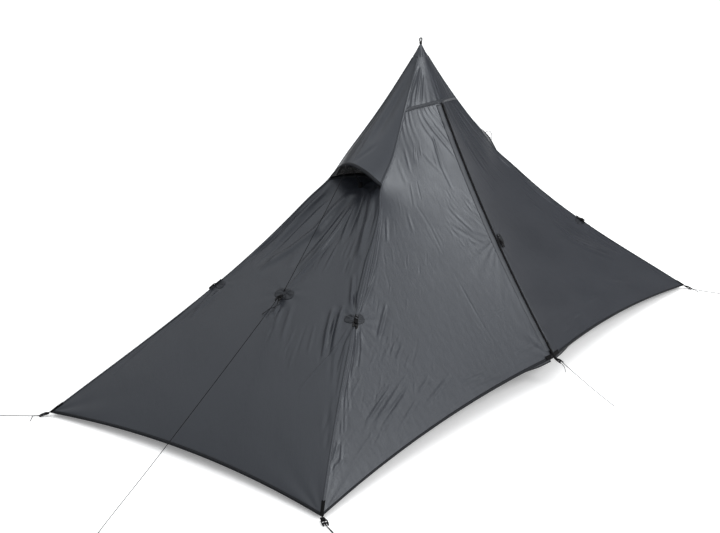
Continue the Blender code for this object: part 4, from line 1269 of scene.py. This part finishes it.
def ridge_row(t, sx, sy, gap, lift):
    """Points a gap away from a ridge, on the side (gap < 0) or on the end (gap > 0)."""
    t = np.asarray(t, float)
    if gap < 0:
        wide = np.linalg.norm(bare_ridge(t, 1, sy) - side_middle(t, sy), axis=-1)
        a = 1 + gap / wide
        upper = PEAKS[sy].point(np.minimum(t, T_SEAM), a * sx, lift)
        lower = SIDES[sx, sy].point(np.maximum(t, T_SEAM), a, lift)
        return np.where((t < T_SEAM)[:, None], upper, lower)
    s = (1 - gap / np.abs(bare_ridge(t, 1, sy)[..., 1])) * sy
    upper = HOODS[sx].point(np.minimum(t, T_VENT), s, lift)
    lower = ENDS[sx].point(np.maximum(t, T_VENT), s, lift)
    return np.where((t < T_VENT)[:, None], upper, lower)


def make_ridge_seams():
    """Felled seams along the four ridges."""
    for name, (sx, sy, _) in CORNERS.items():
        t = np.linspace(T_TOP + 0.006, 0.996, 260)
        top = ridge(t, sx, sy)
        top = top + outward_of(top) * 0.0013
        sections = np.stack([ridge_row(t, sx, sy, -SEAM_HALF, 0.0006),
                             ridge_row(t, sx, sy, -SEAM_HALF * 0.5, 0.0012), top,
                             ridge_row(t, sx, sy, SEAM_HALF * 0.5, 0.0012),
                             ridge_row(t, sx, sy, SEAM_HALF, 0.0006)], axis=1)
        strip(name + "_ridge_seam", sections, FABRIC, thickness=0.0007)
        t = np.linspace(0.035, 0.99, 400)
        rows = [ridge_row(t, sx, sy, gap, 0.0012) for gap in (-STITCH_OUT, STITCH_OUT)]
        for side, line in zip(("side", "end"), rows):
            stitches(name + "_ridge_stitches_" + side, line, UP, 0.0046)


def make_peak_seams():
    """Felled seams between the peak panels and the sides below them."""
    for sy, side in SIDES_BY_SIGN:
        s = np.linspace(-0.985, 0.985, 160)
        rows = []
        for drop in (-0.0042, -0.0020, 0.0, 0.0022, 0.0044):
            if drop <= 0:
                t = min(T_SEAM + drop, T_SEAM - 0.0002)
                rows.append(PEAKS[sy].point(np.full_like(s, t), s, 0.0006))
            else:
                left, right = (SIDES[sx, sy].point(T_SEAM + drop, np.abs(s), 0.0006)
                               for sx in (-1, 1))
                rows.append(np.where((s < 0)[:, None], left, right))
        sections = np.stack(rows, axis=1)
        sections[:, 2] += (0.0, sy * 0.0004, 0.0003)
        strip(side + "_peak_seam", sections, FACING)
        for index in (1, 3):
            line = sections[:, index] + (0.0, sy * 0.0004, 0.0004)
            stitches("%s_peak_stitches_%d" % (side, index), line, (0.0, sy * 0.86, 0.5), 0.0040)


def make_rear_seam():
    """Felled seam between the two rear panels, with its two rows of stitches."""
    t = np.linspace(T_SEAM + 0.002, 0.998, 260)
    left, right = SIDES[-1, 1], SIDES[1, 1]
    rows = [panel.point(t, share_of(gap, t), lift) for panel, gap, lift in (
        (left, SEAM_HALF, 0.0005), (left, SEAM_HALF / 2, 0.0009), (right, 0.0, 0.0010),
        (right, SEAM_HALF / 2, 0.0009), (right, SEAM_HALF, 0.0005))]
    strip("rear_middle_seam", np.stack(rows, axis=1), FABRIC)
    for index, side in ((1, "left"), (3, "right")):
        stitches("rear_middle_stitches_" + side, rows[index] + (0.0, 0.0005, 0.0004),
                 (0.0, 0.86, 0.5), 0.0040)


def make_hem(name, panel, count, low, body):
    """Stitched binding folded over a hem, from outside to inside."""
    a = np.linspace(low, HEM_END, count)
    slope = np.linalg.norm(panel.surface(np.full(count, 1.0), a)
                           - panel.surface(np.full(count, 0.99), a), axis=-1) / 0.01
    profile = ((HEM_BAND, 0.0009), (HEM_BAND * 0.5, 0.0012), (0.001, 0.0012), (-0.0006, 0.0001),
               (0.001, -0.0013), (HEM_BAND * 0.5, -0.0015), (HEM_BAND, -0.0013))
    rows = [panel.point(1.0 - drop / slope, a, lift) for drop, lift in profile]
    strip(name, np.stack(rows, axis=1), FABRIC_DARK, body, thickness=CLOTH)
    stitches(name + "_stitches", rows[1] + (0.0, 0.0, 0.0007), UP, 0.0050, body)


def make_hems():
    """Bindings of the six hems."""
    for (sx, sy), panel in SIDES.items():
        name = ("front" if sy < 0 else "rear") + ("_left" if sx < 0 else "_right")
        body = "door" if (sx, sy) == (-1, -1) else "canopy"
        make_hem(name + "_hem", panel, 170, 0.0085 if sy < 0 else 0.0, body)
    for sx, end in ENDS_BY_SIGN:
        make_hem(end + "_end_hem", ENDS[sx], 190, -HEM_END, "canopy")


def make_facings():
    """Facing sewn inside the hem beside the door's foot, hanging a little below it."""
    for sx, side in ENDS_BY_SIGN:
        panel = SIDES[sx, -1]
        body = "door" if sx < 0 else "canopy"
        a = np.linspace(0.012, 0.15, 50)
        drop = 0.011 * smooth((0.15 - a) / 0.10)
        upper = panel.point(0.988, a, -0.0030)
        lower = panel.point(1.0, a, -0.0030) + vec(0 * a, 0.0018 + 0 * a, -drop)
        middle = mix(upper, lower, 0.55)
        strip("door_foot_facing_" + side, np.stack([upper, middle, lower], axis=1), FACING,
              body, thickness=0.0009)
        edge = [mix(middle, lower, 0.75) + (0, -0.0009, 0), lower + (0, -0.0009, -0.0008),
                lower + (0, 0.0006, -0.0008)]
        strip("door_foot_facing_edge_" + side, np.stack(edge, axis=1), FABRIC_DARK, body,
              thickness=CLOTH)


def make_hood_rims():
    """Bound rims of the hoods, and of the end cloths under them."""
    for sx, end in ENDS_BY_SIGN:
        s = np.linspace(-0.985, 0.985, 120)
        rows = [HOODS[sx].point(T_VENT - back, s, lift) for back, lift in (
            (0.006, 0.0009), (0.003, 0.0014), (0.0005, 0.0014), (0.0, -0.0002),
            (0.001, -0.0018), (0.008, -0.0018))]
        strip(end + "_hood_rim", np.stack(rows, axis=1), FABRIC_DARK)
        stitches(end + "_hood_rim_stitches", rows[1] + (0, 0, 0.0008), UP, 0.0042)
        low = T_VENT + SEAM_GAP - sill_rise(s)
        rows = [ENDS[sx].point(low + down, s, lift) for down, lift in (
            (0.009, 0.0009), (0.004, 0.0012), (0.0, 0.0008), (0.004, -0.0012))]
        strip(end + "_sill_binding", np.stack(rows, axis=1), FABRIC_DARK)


def patch(name, panel, centre, outline, lift, material=PATCH, rings=9, turns=56):
    """Reinforcement patch on a panel; outline(angle) is its radius in metres."""
    t0, a0 = centre
    down, across = panel.tangents(np.array(float(t0)), np.array(float(a0)))[1:]
    basis = np.stack([panel.flat(down), panel.flat(across)], axis=1) / (2 * TANGENT_STEP)
    solve = np.linalg.inv(basis)
    angle = np.linspace(0, 2 * math.pi, turns, endpoint=False)
    size = np.array([outline(x) for x in angle])
    share = np.linspace(0.0, 1.0, rings)[:, None]
    x, y = share * size * np.cos(angle), share * size * np.sin(angle)
    shift = np.stack([x, y], -1) @ solve.T
    sink = np.where(share > 0.95, -0.0004, 0.0)
    points = panel.point(t0 + shift[..., 0], a0 + shift[..., 1], lift + sink)
    uv = np.stack([x, y], -1)
    made = grid_object(name, points[:, ::-1], uv[:, ::-1], material, 0.0006, 0.0, wrap=True)
    clean(made.data, 0.000001)
    keep(made, "canopy", "canopy_fabric")
    edge = points[rings - 2]
    stitches(name + "_stitches", np.concatenate([edge, edge[:1]]), UP, 0.0034)


def oval(width, height, power=2.6):
    def radius(angle):
        c, s = abs(math.cos(angle)) / width, abs(math.sin(angle)) / height
        return (c ** power + s ** power) ** (-1 / power)
    return radius


def make_patches():
    for sx, end in ENDS_BY_SIGN:
        patch(end + "_end_patch", ENDS[sx], (END_TIE_T, 0.0), oval(0.040, 0.024), 0.0008)
    patch("door_side_patch", SIDES[1, -1], (0.528, 0.050), oval(0.026, 0.024), 0.0010,
          FABRIC_DARK)
    for name, (sx, sy, _) in CORNERS.items():
        t = T_TIE + 0.002
        wide = float(np.linalg.norm(bare_ridge(np.array(t), 1, sy)
                                    - side_middle(np.array(t), sy)))
        patch(name + "_ridge_patch_side", SIDES[sx, sy], (t, 1 - 0.023 / wide),
              oval(0.020, 0.018), 0.0009)
        half = abs(float(bare_ridge(np.array(t), 1, 1)[1]))
        patch(name + "_ridge_patch_end", ENDS[sx], (t, sy * (1 - 0.023 / half)),
              oval(0.020, 0.018), 0.0009)


make_ridge_seams()
make_peak_seams()
make_rear_seam()
make_hems()
make_facings()
make_hood_rims()
make_patches()


# ------------------------------------------------------------------ tabs and line locks
def lock_object(name, body):
    """Line lock: a bar and two prongs round a slot."""
    half = [(-0.0013, 0.011), (0.0125, 0.011), (0.021, 0.0095), (0.021, 0.0058), (0.0125, 0.0045)]
    outer = [(x, -y) for x, y in half] + half[::-1]
    slot = [(0.0013, -0.008), (0.008, -0.008), (0.008, 0.008), (0.0013, 0.008)]
    loops = [rounded_outline(outer, 0.0016), rounded_outline(slot, 0.0008)]
    made = outline_object(name + "_line_lock", loops, LOCK_HALF, PLASTIC, 0.0005)
    made.matrix_world = FRAMES[name][0] @ Matrix.Translation(BAR)
    return keep(made, body, "moulded_plastic", name + "_lock")


def strap_points(path, width, columns=9):
    """Strap of webbing along a path of (u, v)."""
    route = np.array([tuple(p)[:2] for p in smooth_route([(u, v, 0.0) for u, v in path],
                                                         0.0012, 6)])
    across = np.linspace(-1, 1, columns)
    points = np.zeros((len(route), columns, 3))
    points[..., 0] = route[:, None, 0]
    points[..., 1] = across * width / 2
    points[..., 2] = route[:, None, 1]
    return points


def transformed(points, matrix):
    m = np.array(matrix)
    return points @ m[:3, :3].T + m[:3, 3]


def bar_tack(name, frame_here, u, v, width=0.012, rows=5):
    """Dense zigzag of thread that fixes a strap."""
    route = []
    count = rows * 2
    for i in range(count + 1):
        x = u + mix(-0.0022, 0.0022, i / count)
        route.append(frame_here @ Vector((x, (width / 2) * (1 if i % 2 else -1), v)))
    made = tube(name, route, 0.00045, THREAD, step=0.0012, sides=6, relief=0.0)[0]
    keep(made, "canopy", "webbing")


def make_tab(name):
    """A tie-out's strap with its loop, tacks and line lock."""
    frame_here, sewn, body = FRAMES[name]
    long = sewn == SEWN
    path = [(-sewn, 0.0010), (0.0040, 0.0010), (0.0080, 0.0010)]
    for i in range(13):
        angle = math.radians(mix(-120, 120, i / 12))
        path.append((BAR.x + LOOP_R * math.cos(angle), BAR.z + LOOP_R * math.sin(angle)))
    path += [(0.0070, 0.0052), (0.0010, 0.0026), (-sewn, 0.0025)]
    points = transformed(strap_points(path, WEB_WIDTH), frame_here)
    made = grid_object(name + "_strap", points, metres_uv(points), WEBBING, 0.0010, 0.0)
    keep(made, "canopy", "webbing", name + "_tab")
    if long:
        for i, u in enumerate((-0.018, -0.008)):
            bar_tack("%s_tack_%d" % (name, i), frame_here, u, 0.0033)
    lock_object(name, body)


for tab_name in FRAMES:
    make_tab(tab_name)


def make_corner_webbing():
    """Webbing over each ground corner, and the crossing hem webbing at the door's foot."""
    for name, (sx, sy, _) in CORNERS.items():
        t = np.linspace(1.0 - 0.052 / 1.9, 1.001, 16)
        top = ridge(t, sx, sy)
        rows = [ridge_row(np.minimum(t, 0.9999), sx, sy, share * WEB_WIDTH, lift)
                for share, lift in ((-0.5, 0.0022), (-0.25, 0.0026), (0.25, 0.0026),
                                    (0.5, 0.0022))]
        rows.insert(2, top + outward_of(top) * 0.0034)
        sections = np.stack(rows, axis=1)
        tip = np.array(FRAMES[name + "_corner"][0] @ Vector((0.001, 0.0, 0.0036)))
        narrowed = tip + (sections[-1] - sections[-1, 2]) * 0.9
        sections[-1] = mix(sections[-1], narrowed, 0.75)
        strip(name + "_corner_webbing", sections, WEBBING, slot="webbing", thickness=0.0010)
    for sx, side in ENDS_BY_SIGN:
        panel = SIDES[sx, -1]
        a = np.linspace(0.002, 0.036, 14)
        rows = [panel.point(t, a, 0.0028) for t in (0.980, 0.986, 0.992, 0.9985)]
        strip("door_foot_webbing_" + side, np.stack(rows, axis=1), WEBBING,
              "door" if sx < 0 else "canopy", slot="webbing", thickness=0.0011)


make_corner_webbing()


# ------------------------------------------------------------------ door edge and zip
def arc_angle(out):
    return math.asin((out - ARC_CENTRE.x) / ARC_R)


def zip_frame(along):
    """Frame on the zip, along metres down from its top: X right, Y up the zip, Z outward."""
    angle = arc_angle(side_out(T_SEAM)) + along / ARC_R
    radial = Vector((0.0, -math.sin(angle), -math.cos(angle)))
    centre = Vector((0.0, -ARC_CENTRE.x, ARC_CENTRE.y))
    origin = centre + radial * ARC_R
    turned = Matrix((Vector((1, 0, 0)), -radial.cross(Vector((1, 0, 0))), -radial)).transposed()
    return Matrix.Translation(origin) @ turned.to_4x4()


ZIP_LENGTH = ARC_R * (arc_angle(side_out(1.0)) - arc_angle(side_out(T_SEAM)))


def zip_rows(start, stop, count, profile):
    """Grid of points along the zip, each row through a profile of (x, z)."""
    frames = [zip_frame(float(along)) for along in np.linspace(start, stop, count)]
    return np.array([[place @ Vector((x, 0.0, z)) for x, z in profile] for place in frames])


def make_zip():
    """Both tapes and both coils."""
    for sx, side, body in ((-1, "left", "door"), (1, "right", "canopy")):
        profile = [(sx * x, z) for x, z in ((TAPE_IN, 0.0), (0.0030, 0.0001), (0.0060, 0.0),
                                            (0.0098, -0.0002), (TAPE_OUT + 0.0028, -0.0013))]
        points = zip_rows(0.0015, ZIP_LENGTH, 200, profile)
        if sx > 0:
            points = points[:, ::-1]
        strip("zip_tape_cloth_" + side, points, ZIP_TAPE, body, ["zip_tape_" + side], "zip_tape",
              0.0009, -1.0)
        turns = []
        count = int(ZIP_LENGTH / 0.0030)
        for i in range(count * 6):
            place = zip_frame(mix(0.004, ZIP_LENGTH - 0.002, i / (count * 6)))
            angle = i / 6 * 2 * math.pi
            turns.append(place @ Vector((sx * (0.0019 + 0.0011 * math.cos(angle)), 0.0,
                                         0.0010 + 0.0009 * math.sin(angle))))
        coil = tube("zip_coil_" + side, turns, 0.00050, COIL, 0.0011, 5, 0.0)[0]
        keep(coil, body, "zip_tape")


def make_flap():
    """Storm flap beside the zip: a folded welt with a sewn edge."""
    panel = SIDES[-1, -1]
    v = np.linspace(DOOR_TOP, FLAP_FOOT, 220)
    rng = np.random.default_rng(17)
    ripple = sum(rng.uniform(0.3, 1.0) * np.sin(v * rng.uniform(60, 190) + rng.uniform(0, 6))
                 for _ in range(4)) * 0.0004
    profile = ((FLAP_OUT, -0.0005), (0.026, 0.0003), (0.019, 0.0007), (0.012, 0.0009),
               (0.008, 0.0011), (FLAP_IN + 0.002, 0.0007))
    points = np.stack([panel.point(v, share_of(out, v), lift + ripple * (1 - out / FLAP_OUT))
                       for out, lift in profile], axis=1)
    made = strip("storm_flap_cloth", points, FACING, "door", ["storm_flap"])
    line = panel.point(v, share_of(0.0245, v), 0.0006)
    stitches("storm_flap_stitches", line, (0, -0.86, 0.5), 0.0040, "door", 0.00025)


def make_foot_strap():
    """Webbing sewn over the foot of the zip, down to the stake tab."""
    profile = ((-0.008, 0.0030), (-0.004, 0.0046), (0.0, 0.0050), (0.004, 0.0046),
               (0.008, 0.0030))
    points = zip_rows(ZIP_LENGTH - 0.030, ZIP_LENGTH + 0.004, 12, profile)
    strip("door_foot_strap", points, WEBBING, slot="webbing", thickness=0.0011)


make_zip()
make_flap()
make_foot_strap()


# ------------------------------------------------------------------ peak
def make_peak():
    """Conical cap of cloth, and the knotted hanging loop."""
    low, high, wide, tip = 1.1870, 1.2340, 0.040, 0.0045
    angle = np.linspace(0, 2 * math.pi, 72, endpoint=False)
    v = np.linspace(0.0, 1.0, 24)[:, None]
    pucker = 1 + 0.03 * np.sin(11 * angle) * (1 - v) * smooth(v / 0.1) - 0.05 * smooth(1 - v / 0.08)
    radius = mix(wide, tip, v ** 0.9) * pucker
    points = vec(radius * np.cos(angle), 0.60 * radius * np.sin(angle), mix(low, high, v))
    uv = np.stack(np.broadcast_arrays(angle * wide, v * (high - low)), -1)
    cap = grid_object("peak_cap_cloth", points, uv, FABRIC, 0.0010, -1.0, wrap=True)
    keep(cap, "canopy", "canopy_fabric", "peak_cap")
    loop = [Vector((0.0062 * math.sin(a), 0.0016 * math.sin(2 * a), 1.2466 - 0.0105 * math.cos(a)))
            for a in (i * math.pi / 12 for i in range(24))]
    made = tube("peak_hanging_loop", loop, 0.0024, CORD, 0.0012, closed=True)[0]
    keep(made, "canopy", "guyline_cord", "peak_loop")
    knot("peak_loop_knot", (0.0, 0.0, 1.2375), (0.0, 0.15, 1.0), turns=3, reach=0.0055)


make_peak()


# ------------------------------------------------------------------ carried-over nodes
def dress(node, material):
    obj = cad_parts[node]
    if not obj.material_slots:
        obj.data.materials.append(material)
    for place in obj.material_slots:
        place.material = material


def dress_nodes():
    for node in ("upper_zip_slider", "lower_zip_slider", "upper_zip_pull", "lower_zip_pull"):
        dress(node, ZIP_METAL)
    for node in ("pole_upper_tube", "pole_lower_tube"):
        dress(node, TUBE)
    for node in ("pole_clamp", "pole_clamp_lever", "left_hood_strut", "right_hood_strut",
                 "door_hook", "door_ring"):
        dress(node, PLASTIC)
    dress("pole_foot", RUBBER)


dress_nodes()


# ------------------------------------------------------------------ studio
def make_studio():
    """Pale floor, soft world light that is stronger from above, and two lamps."""
    mesh = bpy.data.meshes.new("studio_floor")
    half = 60.0
    corners = [(x * half, y * half, 0) for x, y in ((-1, -1), (1, -1), (1, 1), (-1, 1))]
    mesh.from_pydata(corners, [], [(0, 1, 2, 3)])
    floor = link("studio_floor", mesh, floor_finish("pale_floor"))
    floor.location.z = -0.0006

    bpy.context.scene.view_settings.view_transform = "Standard"
    world = bpy.data.worlds.new("studio")
    bpy.context.scene.world = world
    world.use_nodes = True
    nodes, links = world.node_tree.nodes, world.node_tree.links
    aim = nodes.new("ShaderNodeTexCoord")
    split = nodes.new("ShaderNodeSeparateXYZ")
    lift = nodes.new("ShaderNodeMapRange")
    lift.inputs["From Min"].default_value = 0.25
    lift.inputs["To Min"].default_value = 0.16
    lift.inputs["To Max"].default_value = 1.75
    links.new(aim.outputs["Generated"], split.inputs[0])
    links.new(split.outputs["Z"], lift.inputs["Value"])
    links.new(lift.outputs[0], nodes["Background"].inputs["Strength"])
    nodes["Background"].inputs["Color"].default_value = (0.98, 0.99, 1.0, 1.0)

    lamps = (("key", (1.6, -4.8, 3.4), 2.2, 180.0), ("top", (0.3, -0.2, 6.0), 5.0, 15.0))
    for name, place, width, power in lamps:
        data = bpy.data.lights.new(name, "AREA")
        data.shape = "SQUARE"
        data.size = width
        data.energy = power
        lamp = bpy.data.objects.new(name, data)
        bpy.context.scene.collection.objects.link(lamp)
        lamp.location = place
        toward = Vector((0.0, -0.2, 0.35)) - Vector(place)
        lamp.rotation_euler = toward.to_track_quat("-Z", "Y").to_euler()


make_studio()
